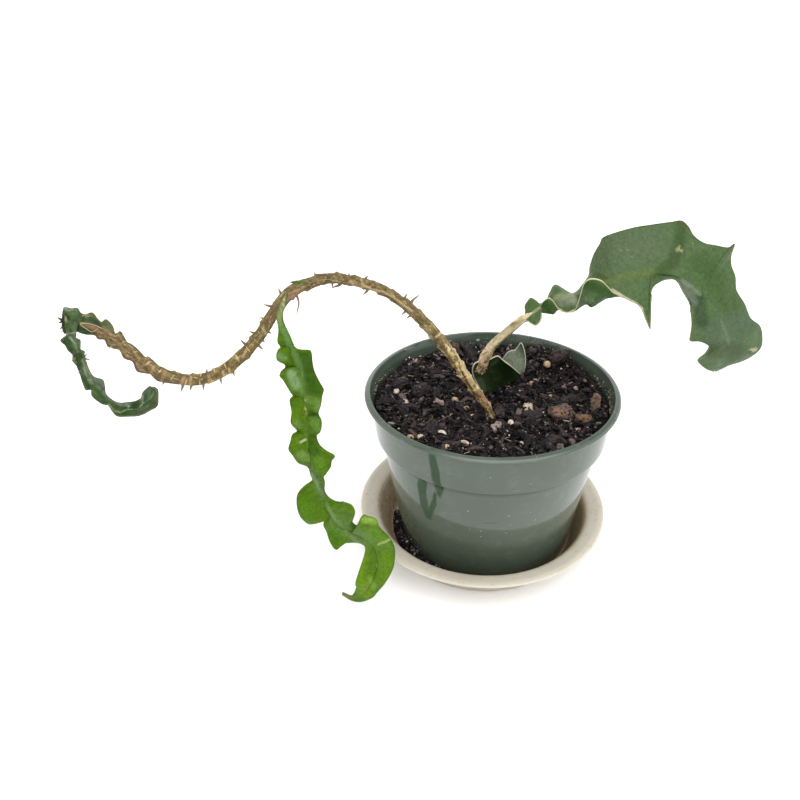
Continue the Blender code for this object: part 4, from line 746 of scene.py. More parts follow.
# Painted sheen and shade on the large right joint, besides its own scars, flecks and spine tip:
# most broad pale grey-green strokes are painted sheen and a soft highlight along a fold, the broad
# dark ones painted shade
RIGHT_MARKS_SHEEN_AND_SHADE = (
    (7, (150, 160, 132), 0.9, (560, 300), (572, 299), (582, 301)),
    (10, (70, 88, 58), 0.7, (706, 346), (722, 350), (736, 350)),
    (22, (94, 112, 80), 0.8, (606, 252), (648, 244)),
    (7, (64, 84, 44), 0.7, (681, 226), (678, 246), (672, 262), (656, 276)),
    (12, (70, 92, 50), 0.5, (700, 262), (716, 282), (730, 304)),
    (15, (86, 106, 78), 0.8, (712, 330), (742, 322)),
    (7, (54, 76, 44), 0.8, (698, 300), (701, 322)),
    (6, (110, 116, 104), 0.7, (683, 290), (691, 302)),
    (2.6, (146, 156, 138), 0.45, (681, 281), (690, 287), (698, 294)),
    (1.6, (120, 136, 104), 0.5, (719, 320), (724, 332), (727, 342)),
    (4, (104, 120, 56), 0.5, (603, 284), (625, 277), (652, 272)),
    (3, (80, 90, 48), 0.6, (606, 279), (596, 275)),
    (1.5, (182, 182, 138), 0.8, (676, 250), (681, 251)),
    (1.2, (182, 182, 138), 0.8, (679, 247), (678, 248)),
    (1.0, (150, 158, 104), 0.7, (692, 244), (692.5, 244.5)),
    (2.0, (196, 194, 152), 0.8, (750, 350), (755, 349)),
    (1.3, (40, 40, 26), 0.95, (749, 351), (750, 351)),
    (1.0, (160, 162, 116), 0.45, (620, 251), (621, 250)),
    (1.0, (160, 162, 116), 0.45, (627, 250), (628, 250)),
    (0.9, (160, 162, 116), 0.45, (631, 257), (632, 257)),
    (0.9, (160, 162, 116), 0.45, (637, 251), (638, 251)),
    (0.9, (150, 154, 110), 0.4, (604, 247), (605, 247)),
    (0.9, (150, 154, 110), 0.4, (614, 262), (615, 262)),
    (2, (100, 96, 66), 0.6, (733, 244), (730, 249)),
    (2, (98, 92, 56), 0.6, (650, 223), (682, 221), (691, 230)),
    (6, (96, 110, 78), 0.6, (545, 302), (566, 306)),
    (1.5, (172, 176, 136), 0.8, (527, 318), (541, 308)),
    (2, (140, 150, 96), 0.6, (556, 300), (572, 293)),
    (5, (86, 110, 58), 0.5, (534, 304), (558, 290)),
    (4, (110, 100, 60), 0.5, (646, 320), (647, 329)),
)
# Painted shade in the hollow under the right joint's fold, a painted sheen at its bottom, and its
# own cream margin
RIGHT_FOLD_SHEEN_SHADE_AND_MARGIN = (
    (6, (58, 86, 40), 0.9, (586, 283), (600, 289), (614, 297)),
    (4, (62, 92, 42), 0.9, (614, 297), (632, 305), (640, 312)),
    (5, (66, 92, 52), 0.8, (580, 296), (584, 308), (600, 298)),
    (2.5, (112, 128, 104), 0.7, (582, 304), (592, 300)),
    (5, (56, 86, 36), 0.9, (544, 302), (549, 306), (554, 310)),
    (1.3, (214, 206, 170), 0.9,
     (612, 290), (623, 297), (635, 303.5), (641, 308), (644, 318), (648, 328)),
)

# Stage: the floor's size in metres and how far it lies below the table's height in mm, and the
# sky's brightness. A soft box is a direction, the angles from it at which its glow starts to
# fade and is gone, and how much it adds
FLOOR_SIZE = 40.0
FLOOR_DROP = 0.1
LIGHT = 1.4  # how bright a white surface of the plant looks
SHEEN = 0.014  # what its shine adds
SKY_BASE = 0.62
SOFT_BOXES = (
    ((0.15, -0.5, 1.0), 20, 48, 2.3),
    ((1.0, 0.1, 0.25), 12, 40, 0.65),
    ((-1.0, 0.15, 0.3), 12, 38, 0.5),
    ((0.0, 1.0, 0.45), 10, 40, 0.5),
    ((0.0, 0.0, -1.0), 104, 124, 0.42),
)

# How fine the meshes are: points round a turned piece or a stem, steps along in mm
TURNED_STEPS = 174
LEAF_STEP = 0.9
STEM_STEP = 0.36
STEM_SIDES = 48
SOIL_FINE_RINGS = 84
SOIL_FINE_SECTORS = 240

NO_PAINT = (0.0, 0.0, 0.0, 0.0)
# Values for stems and spines in a leaf's material, which keep its margin and midrib off them
PLAIN = {"margin": (0.0,), "rim": (9.0,), "offset": (9.0,)}


def srgb(red, green, blue):
    """A colour as materials want it, from the 0 to 255 values that a picture shows."""
    shares = [value / 255 for value in (red, green, blue)]
    linear = [s / 12.92 if s <= 0.04045 else ((s + 0.055) / 1.055) ** 2.4 for s in shares]
    return (*linear, 1.0)


def unit(vectors):
    return vectors / np.maximum(np.linalg.norm(vectors, axis=-1, keepdims=True), 1e-9)


def noise_at(points, size, seed=0.0):
    """Smooth noise from about -1 to 1 at each point, with lumps of this size in mm."""
    shift = Vector((seed, 2.7 * seed, -1.3 * seed))
    flat = np.asarray(points, float).reshape(-1, 3) / size
    made = np.array([noise.noise(Vector(point) + shift) for point in flat])
    return made.reshape(np.shape(points)[:-1])


def smooth_step(values, low, high):
    share = np.clip((np.asarray(values, float) - low) / (high - low), 0, 1)
    return share * share * (3 - 2 * share)


class Shape:
    """Points in mm, faces, and named values for each point, gathered from several forms."""

    def __init__(self):
        self.points = []
        self.faces = []
        self.values = []
        self.count = 0

    def add(self, points, face_blocks, outward=True, **values):
        """Adds a form. A closed one is turned so that its faces look outwards. Each value is
        a tuple that all its points share, or an array with a number or a row for each point.
        """
        points = np.asarray(points, float).reshape(-1, 3)
        flip = outward and volume(points, face_blocks) < 0
        for block in face_blocks:
            block = np.asarray(block) + self.count
            self.faces.extend((block[:, ::-1] if flip else block).tolist())
        kept = {}
        for name, value in values.items():
            rows = np.array([value]) if isinstance(value, tuple) else np.asarray(value, float)
            rows = rows.reshape(-1, 1) if rows.ndim < 2 else rows
            kept[name] = np.broadcast_to(rows, (len(points), rows.shape[1]))
        self.points.append(points)
        self.values.append(kept)
        self.count += len(points)

    def make(self, name, finish, smooth=True):
        mesh = bpy.data.meshes.new(name)
        mesh.from_pydata((np.vstack(self.points) * MM).tolist(), [], self.faces)
        widths = {key: rows.shape[1] for values in self.values for key, rows in values.items()}
        for key, width in sorted(widths.items()):
            blocks = [values.get(key, np.zeros((len(points), width)))
                      for values, points in zip(self.values, self.points)]
            kind, field = {1: ("FLOAT", "value"), 3: ("FLOAT_VECTOR", "vector"),
                           4: ("FLOAT_COLOR", "color")}[width]
            kept = mesh.attributes.new(key, kind, "POINT")
            kept.data.foreach_set(field, np.vstack(blocks).astype(np.float32).ravel())
        mesh.materials.append(finish)
        if smooth:
            mesh.shade_smooth()
        obj = bpy.data.objects.new(name, mesh)
        bpy.context.scene.collection.objects.link(obj)
        return obj


def volume(points, face_blocks):
    total = 0.0
    for block in face_blocks:
        block = np.asarray(block)
        for k in range(1, block.shape[1] - 1):
            a, b, c = points[block[:, 0]], points[block[:, k]], points[block[:, k + 1]]
            total += np.einsum("ij,ij->", a, np.cross(b, c))
    return total


def ring_faces(rows, columns):
    """Quads that join each ring of points to the next, where a ring closes on itself."""
    start = np.arange(rows - 1)[:, None] * columns
    this = start + np.arange(columns)
    after = start + (np.arange(columns) + 1) % columns
    return np.stack([this, after, after + columns, this + columns], -1).reshape(-1, 4)


def fan(tip, start, count, back=False):
    """Triangles from one point to the sides of a ring of points, or turned over."""
    this = start + np.arange(count)
    after = start + (np.arange(count) + 1) % count
    pair = (after, this) if back else (this, after)
    return np.stack([np.full(count, tip), *pair], -1)


def end_faces(rows, columns):
    """Faces that close the first and the last ring, each zipped across from one side."""
    k = np.arange(1, columns // 2 - 1)
    quads = np.stack([k, k + 1, columns - k - 1, columns - k], -1)
    half = columns // 2
    corners = np.array([[0, 1, columns - 1], [half - 1, half, half + 1]])
    last = (rows - 1) * columns
    return [quads[:, ::-1], corners[:, ::-1], quads + last, corners + last]


def put_in_place(obj, slot, *nodes):
    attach(obj, "root")
    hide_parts(*nodes)


# The photograph's view


def camera_axes():
    """The camera's right, its up and the way back from what it looks at."""
    rise, roll = math.radians(CAMERA_RISE), math.radians(CAMERA_ROLL)
    back = np.array([0, -math.cos(rise), math.sin(rise)])
    up = np.array([0, math.sin(rise), math.cos(rise)])
    right = np.array([1.0, 0, 0])
    return (math.cos(roll) * right + math.sin(roll) * up,
            -math.sin(roll) * right + math.cos(roll) * up, back)


def picture_places(points):
    """Where points in mm appear in the photograph, in pixels from its upper left corner."""
    across, upward, back = camera_axes()
    seen = points - (np.array(CAMERA_TARGET) + back * CAMERA_DISTANCE)
    scale = FOCAL * PICTURE / -(seen @ back)
    return np.stack([PICTURE / 2 + scale * (seen @ across),
                     PICTURE / 2 - scale * (seen @ upward)], -1)


def stroke_weight(seen, path, radius):
    """1 near a stroke through these pixels, and 0 beyond its radius."""
    path = np.array(path, float)
    apart = np.full(seen.shape[:-1], np.inf)
    for a, b in zip(path, path[1:] if len(path) > 1 else path):
        along = b - a
        share = np.clip(((seen - a) @ along) / max(along @ along, 1e-9), 0, 1)
        apart = np.minimum(apart, np.linalg.norm(seen - (a + share[..., None] * along), axis=-1))
    return 1 - smooth_step(apart, radius * 0.35, radius * 1.35)


def painted(points, paint, strokes):
    """Colours for points, with strokes laid over them where the photograph shows them. A stroke
    is its radius in pixels, its colour, its strength and the pixels that it runs through. The
    fourth value of a colour is how much of the skin's own colour it covers.
    """
    seen = picture_places(points)
    paint = np.broadcast_to(paint, (*seen.shape[:-1], 4)).copy()
    for radius, colour, strength, *path in strokes:
        weight = strength * stroke_weight(seen, path, radius)[..., None]
        under = paint[..., 3:] * (1 - weight)
        alpha = under + weight
        tint = (weight * np.array(skin(*colour)[:3]) + under * paint[..., :3])
        paint = np.concatenate([tint / np.maximum(alpha, 1e-6), alpha], -1)
    return paint


def skin(red, green, blue):
    """The skin's own colour, from how it looks in the photograph under this light."""
    seen = np.array(srgb(red, green, blue)[:3])
    return (*np.maximum((seen - SHEEN) / LIGHT, 0.002), 1.0)


# Curves


def catmull(a, b, c, d, t):
    return 0.5 * (2 * b + (c - a) * t + (2 * a - 5 * b + 4 * c - d) * t * t
                  + (3 * b - a - 3 * c + d) * t ** 3)


def padded_rows(rows):
    rows = np.array(rows, float)
    return np.vstack([2 * rows[0] - rows[1], rows, 2 * rows[-1] - rows[-2]])


def smooth_path(rows, per_span):
    """A smooth curve through rows of numbers, with per_span steps between two of them."""
    t = (np.arange(per_span) / per_span)[:, None]
    padded = padded_rows(rows)
    spans = [catmull(*padded[k:k + 4], t) for k in range(len(padded) - 3)]
    return np.vstack([*spans, padded[-2]])


def lengths_along(path):
    steps = np.linalg.norm(np.diff(path[:, :3], axis=0), axis=1)
    return np.concatenate([[0], np.cumsum(steps)])


def at_length(path, lengths, wanted):
    return np.stack([np.interp(wanted, lengths, column) for column in path.T], -1)


def evenly_spaced(rows, step):
    """A smooth curve through rows of numbers, in steps of this length."""
    path = smooth_path(rows, 24)
    lengths = lengths_along(path)
    wanted = np.linspace(0, lengths[-1], max(2, math.ceil(lengths[-1] / step) + 1))
    return at_length(path, lengths, wanted), wanted


def frames_along(path):
    """At each point of a path, two directions across it that turn as little as they can."""
    tangents = unit(np.gradient(path, axis=0))
    side = np.array(Vector(tangents[0]).orthogonal().normalized())
    sides = []
    for tangent in tangents:
        side = unit(side - tangent * (side @ tangent))
        sides.append(side)
    sides = np.array(sides)
    return sides, np.cross(tangents, sides)


# Leaf-like joints


def places_along(path, lengths, margin, least):
    """Where on the midrib each margin point belongs, rising all the way from 0 to 1."""
    raw = [lengths[np.argmin(((path - row[:3]) ** 2).sum(1))] / lengths[-1] for row in margin]
    raw[0] = 0.0
    for k in range(1, len(raw)):
        raw[k] = max(raw[k], raw[k - 1] + least)
    raw[-1] = 1.0
    for k in range(len(raw) - 2, 0, -1):
        raw[k] = min(raw[k], raw[k + 1] - least)
    return np.array(raw)


def margin_at(margin, places, wanted):
    """The margin beside places on the midrib: x, y, z and sag."""
    padded = padded_rows([(*row, 0)[:4] for row in margin])
    k = np.clip(np.searchsorted(places, wanted - 1e-9), 1, len(places) - 1) - 1
    t = ((wanted - places[k]) / (places[k + 1] - places[k]))[:, None]
    return catmull(padded[k], padded[k + 1], padded[k + 2], padded[k + 3], t)


def smoothed(values, sigma):
    """Values averaged with their neighbours in the rows before and after."""
    reach = math.ceil(3 * sigma)
    weights = np.exp(-0.5 * (np.arange(-reach, reach + 1) / sigma) ** 2)
    weights /= weights.sum()
    padded = np.concatenate([values[:1].repeat(reach, 0), values, values[-1:].repeat(reach, 0)])
    return sum(w * padded[k:k + len(values)] for k, w in enumerate(weights))


class Leaf:
    """The middle surface of a leaf-like joint: a row of points for each station on its midrib,
    from its left margin to its right one, with the sheet's thickness and normals there. puff is
    how far each lobe swells towards the front between the midrib and its margin.
    """

    def __init__(self, midrib, left, right, rib, edge, closest=MARGIN_STEP, columns=12,
                 bead=0.35, wave=0.35, wave_size=9.0, puff=0.0, step=LEAF_STEP):
        path = smooth_path(midrib, 10)
        lengths = lengths_along(path)
        self.length = lengths[-1]
        self.edge = edge
        self.step = step
        margins = [(rows, places_along(path, lengths, rows, closest / self.length))
                   for rows in (left, right)]
        wanted = self.stations(path, lengths, margins)
        middle = at_length(path, lengths, wanted * self.length)
        tangent = unit(smoothed(np.gradient(middle, axis=0), 2))
        shares = 1 - (np.arange(columns + 1) / columns) ** 1.25
        halves, normals, widths = [], [], []
        self.margins = []
        for (rows, places), side in zip(margins, (1, -1)):
            found = margin_at(rows, places, wanted)
            across = (found[:, :3] - middle)[:, None]
            sag = (found[:, 3:] * np.array(SAG_DIRECTION))[:, None]
            share = shares[None, :, None]
            halves.append(middle[:, None] + across * share + sag * 4 * share * (1 - share))
            slope = across + sag * 4 * (1 - 2 * share)
            normals.append(unit(np.cross(slope, tangent[:, None])) * side)
            widths.append(smoothed(np.linalg.norm(across, axis=-1), 2))
            self.margins.append(found[:, :3])
        trust = [smooth_step(width, NARROW / 3, NARROW)[..., None] + 0.02 for width in widths]
        own = [unit(n * t + other[:, -1:] * other_t * (1 - t)) for n, t, other, other_t in
               ((normals[0], trust[0], normals[1], trust[1]),
                (normals[1], trust[1], normals[0], trust[0]))]
        crest = unit(normals[0][:, -1:] * trust[0] + normals[1][:, -1:] * trust[1])
        reference = np.concatenate([own[0][:, :-1], crest, own[1][:, -2::-1]], 1)
        self.middle = np.concatenate([halves[0], halves[1][:, -2::-1]], 1)
        self.share = np.concatenate([shares, shares[-2::-1]])
        self.along = wanted * self.length
        offset = np.linalg.norm(self.middle - middle[:, None], axis=-1)
        self.offset = offset * np.sign(np.arange(2 * columns + 1) * -1 + columns)
        width = np.where(self.offset >= 0, widths[0], widths[1])
        self.rim = self.rim_distance()
        self.normal = self.surface_normals(reference)
        front = -np.sign(self.normal[..., 1].mean())
        swell = puff * 4 * self.share * (1 - self.share) * smooth_step(width, 2, 11)
        lift = wave * noise_at(self.middle, wave_size) + 0.3 * wave * noise_at(self.middle, 3.2, 5)
        lift = lift * smooth_step(self.rim, 0, 4) + swell * front
        self.middle = self.middle + self.normal * lift[..., None]
        self.normal = self.surface_normals(reference)
        full = smooth_step(width, 1.5, 9)
        self.thick = (edge + (rib - edge) * (1 - self.share) ** 2 * full
                      + bead * full * np.exp(-(self.offset / 1.1) ** 2))

    def stations(self, path, lengths, margins):
        """Places on the midrib close enough for the mesh to follow both margins."""
        found = np.unique(np.concatenate([places for _, places in margins]))
        found = found[np.insert(np.diff(found) > SAME_PLACE / self.length, 0, True)]
        found[-1] = 1.0
        lines = [at_length(path, lengths, found * self.length)]
        lines += [margin_at(rows, places, found)[:, :3] for rows, places in margins]
        longest = np.max([np.linalg.norm(np.diff(line, axis=0), axis=1) for line in lines], 0)
        counts = np.ceil(longest / self.step).astype(int)
        spans = [np.linspace(a, b, n, endpoint=False)
                 for a, b, n in zip(found, found[1:], counts)]
        return np.concatenate([*spans, [1.0]])

    def surface_normals(self, reference):
        across = np.gradient(self.middle, axis=1)
        onward = np.gradient(self.middle, axis=0)
        facing = np.cross(onward, across)
        turn = np.sign(np.einsum("ijk,ijk->ij", facing, reference))[..., None]
        weight = np.linalg.norm(facing, axis=-1).mean()
        mixed = facing * turn + 0.35 * weight * reference
        return unit(smoothed(mixed, 1.5))

    def rim_distance(self):
        """How far each point lies from the nearest point of either margin."""
        edge_points = []
        for margin in self.margins:
            lengths = lengths_along(margin)
            edge_points.append(at_length(margin, lengths, np.arange(0, lengths[-1], 0.2)))
        edge_points = np.vstack(edge_points)
        tree = kdtree.KDTree(len(edge_points))
        for k, point in enumerate(edge_points):
            tree.insert(point, k)
        tree.balance()
        flat = self.middle.reshape(-1, 3)
        return np.array([tree.find(p)[2] for p in flat]).reshape(self.middle.shape[:2])

    def add_to(self, shape, **values):
        """Adds the closed sheet, with a rounded rim, to a shape."""
        half = self.thick[..., None] / 2
        middle = self.middle.copy()
        rims = []
        for column, inner in ((0, 1), (-1, -2)):
            outward = unit(middle[:, column] - middle[:, inner])
            radius = np.minimum(half[:, column], self.edge / 2)
            middle[:, column] -= outward * radius
            rims.append([middle[:, column] + radius * (outward * math.sin(turn)
                         + self.normal[:, column] * math.cos(turn))
                         for turn in np.radians([30, 60, 90, 120, 150])])
        upper = middle + self.normal * half
        lower = middle - self.normal * half
        left = np.stack(rims[0], 1)
        right = np.stack(rims[1], 1)
        rings = np.concatenate([left[:, 2:3], left[:, 1::-1], upper, right,
                                lower[:, ::-1], left[:, :2:-1]], 1)
        rows, columns = rings.shape[:2]

        def round_ring(value, at_rim=None):
            """A value for each point of the rings, from one for each point of the sheet."""
            value = np.broadcast_to(value, (*self.rim.shape, *np.shape(value)[2:]))
            ends = [value[:, k:k + 1] if at_rim is None else np.full_like(value[:, :1], at_rim)
                    for k in (0, value.shape[1] - 1)]
            full = np.concatenate([ends[0].repeat(3, 1), value, ends[1].repeat(5, 1),
                                   value[:, ::-1], ends[0].repeat(2, 1)], 1)
            return full.reshape(rows * columns, -1)

        kept = {"offset": round_ring(self.offset), "rim": round_ring(self.rim, 0.0)}
        for name, value in values.items():
            kept[name] = value if isinstance(value, tuple) else round_ring(value)
        shape.add(rings, [ring_faces(rows, columns), *end_faces(rows, columns)], **kept)


# Stems


def stem(shape, rows, step=STEM_STEP, sides=STEM_SIDES, radius_at=None, strokes=(), **values):
    """Adds a stem through rows of x, y, z and radius, closed at both ends. radius_at takes
    distances along it, angles round it and the plain radii, and gives the radii to use and how
    near each point is to the lip of a scale.
    """
    path, along = evenly_spaced(rows, step)
    side, up = frames_along(path[:, :3])
    angle = math.tau * np.arange(sides) / sides
    radius = np.repeat(path[:, 3:], sides, 1)
    plain = radius
    if radius_at:
        radius, net = radius_at(along[:, None], angle[None, :], radius)
        values["net"] = net.ravel()
    ring = (np.cos(angle)[None, :, None] * side[:, None]
            + np.sin(angle)[None, :, None] * up[:, None])
    points = path[:, None, :3] + radius[..., None] * ring
    grain = np.stack([np.cos(angle) * plain, np.sin(angle) * plain,
                      np.repeat(along[:, None], sides, 1)], -1)
    count = len(path)
    if strokes:
        values["over"] = painted(points, NO_PAINT, strokes).reshape(-1, 4)
    shape.add(points, [ring_faces(count, sides), *end_faces(count, sides)],
              grain=grain.reshape(-1, 3), relief=(radius - plain).ravel(), **values)


def spine(shape, root, tip, thick, bend=0.12, **values):
    """A short tapered root or spine, a little curved, with a wide base."""
    root, tip = np.array(root, float), np.array(tip, float)
    length = np.linalg.norm(tip - root)
    across = unit(np.cross(tip - root, (0.3, 1.0, 0.2)))
    middle = (root + tip) / 2 + across * length * bend
    rows = [(*root, thick * 2.2), (*(root * 0.7 + middle * 0.3), thick * 1.6),
            (*middle, thick), (*(middle * 0.4 + tip * 0.6), thick * 0.6), (*tip, thick * 0.25)]
    stem(shape, rows, step=max(0.4, length / 14), sides=8, **values)


# Lumps of bark and stone


def ball(parts):
    """A ball of radius 1, from an icosahedron whose edges are split parts times."""
    golden = (1 + 5 ** 0.5) / 2
    corners = [unit(np.array(c, float)) for a in (-1, 1) for b in (-golden, golden)
               for c in ((0, a, b), (a, b, 0), (b, 0, a))]
    longest_edge = 1.06
    faces = []
    for i in range(12):
        for j in range(i + 1, 12):
            for k in range(j + 1, 12):
                a, b, c = corners[i], corners[j], corners[k]
                edges = np.linalg.norm([a - b, b - c, c - a], axis=1)
                if edges.max() < longest_edge:
                    outward = np.cross(b - a, c - a) @ a > 0
                    faces.append((i, j, k) if outward else (i, k, j))
    points = list(corners)
    for _ in range(parts):
        halves = {}

        def between(a, b):
            key = (min(a, b), max(a, b))
            if key not in halves:
                halves[key] = len(points)
                points.append(unit(points[a] + points[b]))
            return halves[key]

        split = []
        for a, b, c in faces:
            ab, bc, ca = between(a, b), between(b, c), between(c, a)
            split += [(a, ab, ca), (ab, b, bc), (ca, bc, c), (ab, bc, ca)]
        faces = split
    return np.array(points), np.array(faces)


def turned_about(points, turn, lean):
    """Points leaned about Y, then turned about Z, both in radians."""
    x, y, z = np.moveaxis(points, -1, 0)
    x, z = x * np.cos(lean) - z * np.sin(lean), x * np.sin(lean) + z * np.cos(lean)
    x, y = x * np.cos(turn) - y * np.sin(turn), x * np.sin(turn) + y * np.cos(turn)
    return np.stack([x, y, z], -1)


def rough_lump(shape, rng, corners, centre, sizes, turn, lean, tone, parts=3, boxy=3.5, grainy=0.5):
    """A rough lump of given length, width and thickness. corners are how far it reaches
    towards each corner of an icosahedron, as shares of its half sizes.
    """
    directions, faces = ball(parts)
    near = np.maximum(directions @ directions[:12].T, 0) ** 14
    reach = (near * corners).sum(1) / near.sum(1)
    norm = (np.abs(directions) ** boxy).sum(1) ** (-1 / boxy)
    local = directions * (reach * (0.35 + 0.65 * norm))[:, None] * np.array(sizes) / 2
    seed = rng.uniform(0, 50)
    grain = noise_at(local * (0.16, 1, 1), 1.5, seed) * grainy * 1.5
    crumbled = noise_at(local, 2.4, seed + 9) * grainy * 1.2 - 0.5 * grainy * np.abs(
        noise_at(local, 1.1, seed + 4))
    local = local + directions * (grain + crumbled)[:, None]
    placed = turned_about(local, turn, lean) + np.array(centre)
    shape.add(placed, [faces], paint=painted(placed, tone, BARK_STROKES), grain=local + seed)


def crumbs(shape, rng, centres, sizes, tones, flatness=(0.35, 0.8), parts=1):
    """Many small rough lumps, each turned at random."""
    directions, faces = ball(parts)
    count = len(centres)
    lobes = rng.normal(size=(count, 3, 3))
    waves = np.sin(np.einsum("vk,nkj->nvj", directions * 2.4, lobes)
                   + rng.uniform(0, 6, (count, 1, 3)))
    reach = 1 + 0.17 * waves.sum(-1) + rng.uniform(-0.12, 0.12, (count, len(directions)))
    scale = np.stack([np.ones(count), rng.uniform(0.45, 0.95, count),
                      rng.uniform(*flatness, count)], -1)
    local = directions[None] * reach[..., None] * (scale * np.reshape(sizes, (-1, 1)) / 2)[:, None]
    turn = rng.uniform(0, math.tau, (count, 1))
    lean = rng.normal(0, 0.35, (count, 1))
    placed = turned_about(local, turn, lean) + np.asarray(centres)[:, None]
    block = (np.arange(count)[:, None, None] * len(directions) + faces[None]).reshape(-1, 3)
    paint = np.repeat(np.asarray(tones), len(directions), 0)
    shape.add(placed, [block], outward=False, paint=paint,
              grain=(local + rng.uniform(0, 60, (count, 1, 3))).reshape(-1, 3))


# Pot and saucer


def pot_radius(height, inner=False):
    """The pot wall's outer or inner radius at a height."""
    if height > SHOULDER_HEIGHT:
        share = (height - SHOULDER_HEIGHT) / (POT_RIM - LIP_HEIGHT - SHOULDER_HEIGHT)
        radius = SHOULDER_RADIUS + (BAND_RADIUS - SHOULDER_RADIUS) * min(share, 1)
    else:
        share = (height - POT_BASE) / (SHOULDER_HEIGHT - POT_BASE)
        radius = FOOT_RADIUS + (BODY_RADIUS - FOOT_RADIUS) * share
    return radius - POT_WALL * inner


def rounded_section(section, most=1.2, steps=4, longest=3.0):
    """A section with its corners rounded, and its long stretches split."""
    rows = np.array(section, float)
    made = [rows[0]]
    for before, corner, after in zip(rows, rows[1:], rows[2:]):
        reach = [min(most, 0.42 * np.linalg.norm(other - corner)) for other in (before, after)]
        start = corner + unit(before - corner) * reach[0]
        end = corner + unit(after - corner) * reach[1]
        for t in np.linspace(0, 1, steps):
            made.append((1 - t) ** 2 * start + 2 * t * (1 - t) * corner + t * t * end)
    made.append(rows[-1])
    full = []
    for before, after in zip(made, made[1:]):
        parts = max(1, math.ceil(np.linalg.norm(after - before) / longest))
        full += [before + (after - before) * k / parts for k in range(parts)]
    return np.array([*full, made[-1]])


def turned(shape, section, centre_x, wobble):
    """Adds a piece turned round an upright axis, from a section of radii and heights that
    starts and ends on it. wobble is how far its walls stray from true.
    """
    angle = math.tau * np.arange(TURNED_STEPS) / TURNED_STEPS
    round_the_axis = np.stack([np.cos(angle), np.sin(angle), np.zeros_like(angle)], -1)
    rows = section[1:-1]
    points = rows[:, None, :1] * round_the_axis[None]
    points = points + np.stack([np.zeros(len(rows)), np.zeros(len(rows)), rows[:, 1]], -1)[:, None]
    stray = wobble * noise_at(points, 60) * smooth_step(rows[:, :1], 5, 40)
    points = points + round_the_axis[None] * stray[..., None]
    count = len(rows) * TURNED_STEPS
    ends = [(0, 0, section[0][1]), (0, 0, section[-1][1])]
    points = np.vstack([points.reshape(-1, 3), ends]) + (centre_x, 0, 0)
    first = fan(count, 0, TURNED_STEPS, back=True)
    last = fan(count + 1, count - TURNED_STEPS, TURNED_STEPS)
    within = np.repeat(np.arange(len(rows)) > np.argmax(rows[:, 0]), TURNED_STEPS)
    shape.add(points, [ring_faces(len(rows), TURNED_STEPS), first, last],
              within=np.append(within, (False, True)).astype(float))


def pot_section():
    floor = POT_BASE + FLOOR_LIFT
    lip = POT_RIM - LIP_HEIGHT
    return [
        (0, floor),
        (FOOT_RADIUS - FOOT_RING - 1, floor),
        (FOOT_RADIUS - FOOT_RING, POT_BASE),
        (FOOT_RADIUS - 1, POT_BASE),
        (pot_radius(POT_BASE + 1.2), POT_BASE + 1.2),
        (BODY_RADIUS, SHOULDER_HEIGHT - 0.6),
        (SHOULDER_RADIUS, SHOULDER_HEIGHT + 0.4),
        (BAND_RADIUS, lip),
        (LIP_RADIUS - LIP_ROUNDING, lip),
        (LIP_RADIUS, lip + LIP_ROUNDING),
        (LIP_RADIUS, POT_RIM - LIP_DROP - LIP_CHAMFER),
        (LIP_RADIUS - LIP_CHAMFER, POT_RIM - LIP_DROP),
        (LIP_RADIUS - LIP_TOP + 0.4, POT_RIM),
        (LIP_RADIUS - LIP_TOP, POT_RIM - 0.4),
        (BAND_RADIUS - POT_WALL, POT_RIM - LIP_BEVEL),
        (SHOULDER_RADIUS - POT_WALL, SHOULDER_HEIGHT + 2.2),
        (BODY_RADIUS - POT_WALL, SHOULDER_HEIGHT + 0.8),
        (FOOT_RADIUS - POT_WALL, floor + POT_WALL + 1),
        (FOOT_RADIUS - POT_WALL - 2, floor + POT_WALL),
        (0, floor + POT_WALL),
    ]


def saucer_section():
    return [
        (0, 0),
        (SAUCER_FOOT_RADIUS - 1.2, 0),
        (SAUCER_FOOT_RADIUS, 1.2),
        (SAUCER_WALL_TOP_RADIUS + 0.2, SAUCER_WALL_TOP - 3),
        (SAUCER_WALL_TOP_RADIUS + 2.4, SAUCER_WALL_TOP - 1.1),
        (SAUCER_RIM_RADIUS - 1.4, SAUCER_RIM_HEIGHT - SAUCER_EDGE),
        (SAUCER_RIM_RADIUS - 0.3, SAUCER_RIM_HEIGHT - SAUCER_EDGE),
        (SAUCER_RIM_RADIUS, SAUCER_RIM_HEIGHT - 0.8),
        (SAUCER_RIM_RADIUS - 0.9, SAUCER_RIM_HEIGHT),
        (SAUCER_RIM_RADIUS - 3.5, SAUCER_RIM_HEIGHT + 0.1),
        (SAUCER_WALL_TOP_RADIUS + 3.2, SAUCER_WALL_TOP + 1.5),
        (SAUCER_WALL_TOP_RADIUS + 0.8, SAUCER_WALL_TOP + 0.5),
        (SAUCER_WALL_TOP_RADIUS - 0.9, SAUCER_WALL_TOP - 1.6),
        (SAUCER_FOOT_RADIUS - 1.4, SAUCER_FLOOR + 1.6),
        (SAUCER_FOOT_RADIUS - 3, SAUCER_FLOOR),
        (0, SAUCER_FLOOR),
    ]


def drill(obj, holes):
    """Cuts round holes up through an object: x, y, radius and the heights between which."""
    cutters = []
    for x, y, radius, low, high in holes:
        shape = Shape()
        stem(shape, [(x, y, low, radius), (x, y, (low + high) / 2, radius), (x, y, high, radius)],
             step=high - low, sides=32)
        cutters.append(shape.make("cutter", obj.data.materials[0]))
    tools = bpy.data.collections.new("tools")
    for cutter in cutters:
        bpy.context.scene.collection.objects.unlink(cutter)
        tools.objects.link(cutter)
    cut = obj.modifiers.new("cut", "BOOLEAN")
    cut.operation = "DIFFERENCE"
    cut.operand_type = "COLLECTION"
    cut.collection = tools
    bpy.context.view_layer.update()
    graph = bpy.context.evaluated_depsgraph_get()
    result = bpy.data.meshes.new_from_object(obj.evaluated_get(graph), depsgraph=graph)
    obj.modifiers.clear()
    obj.data = result
    for cutter in cutters:
        bpy.data.objects.remove(cutter)
    bpy.data.collections.remove(tools)


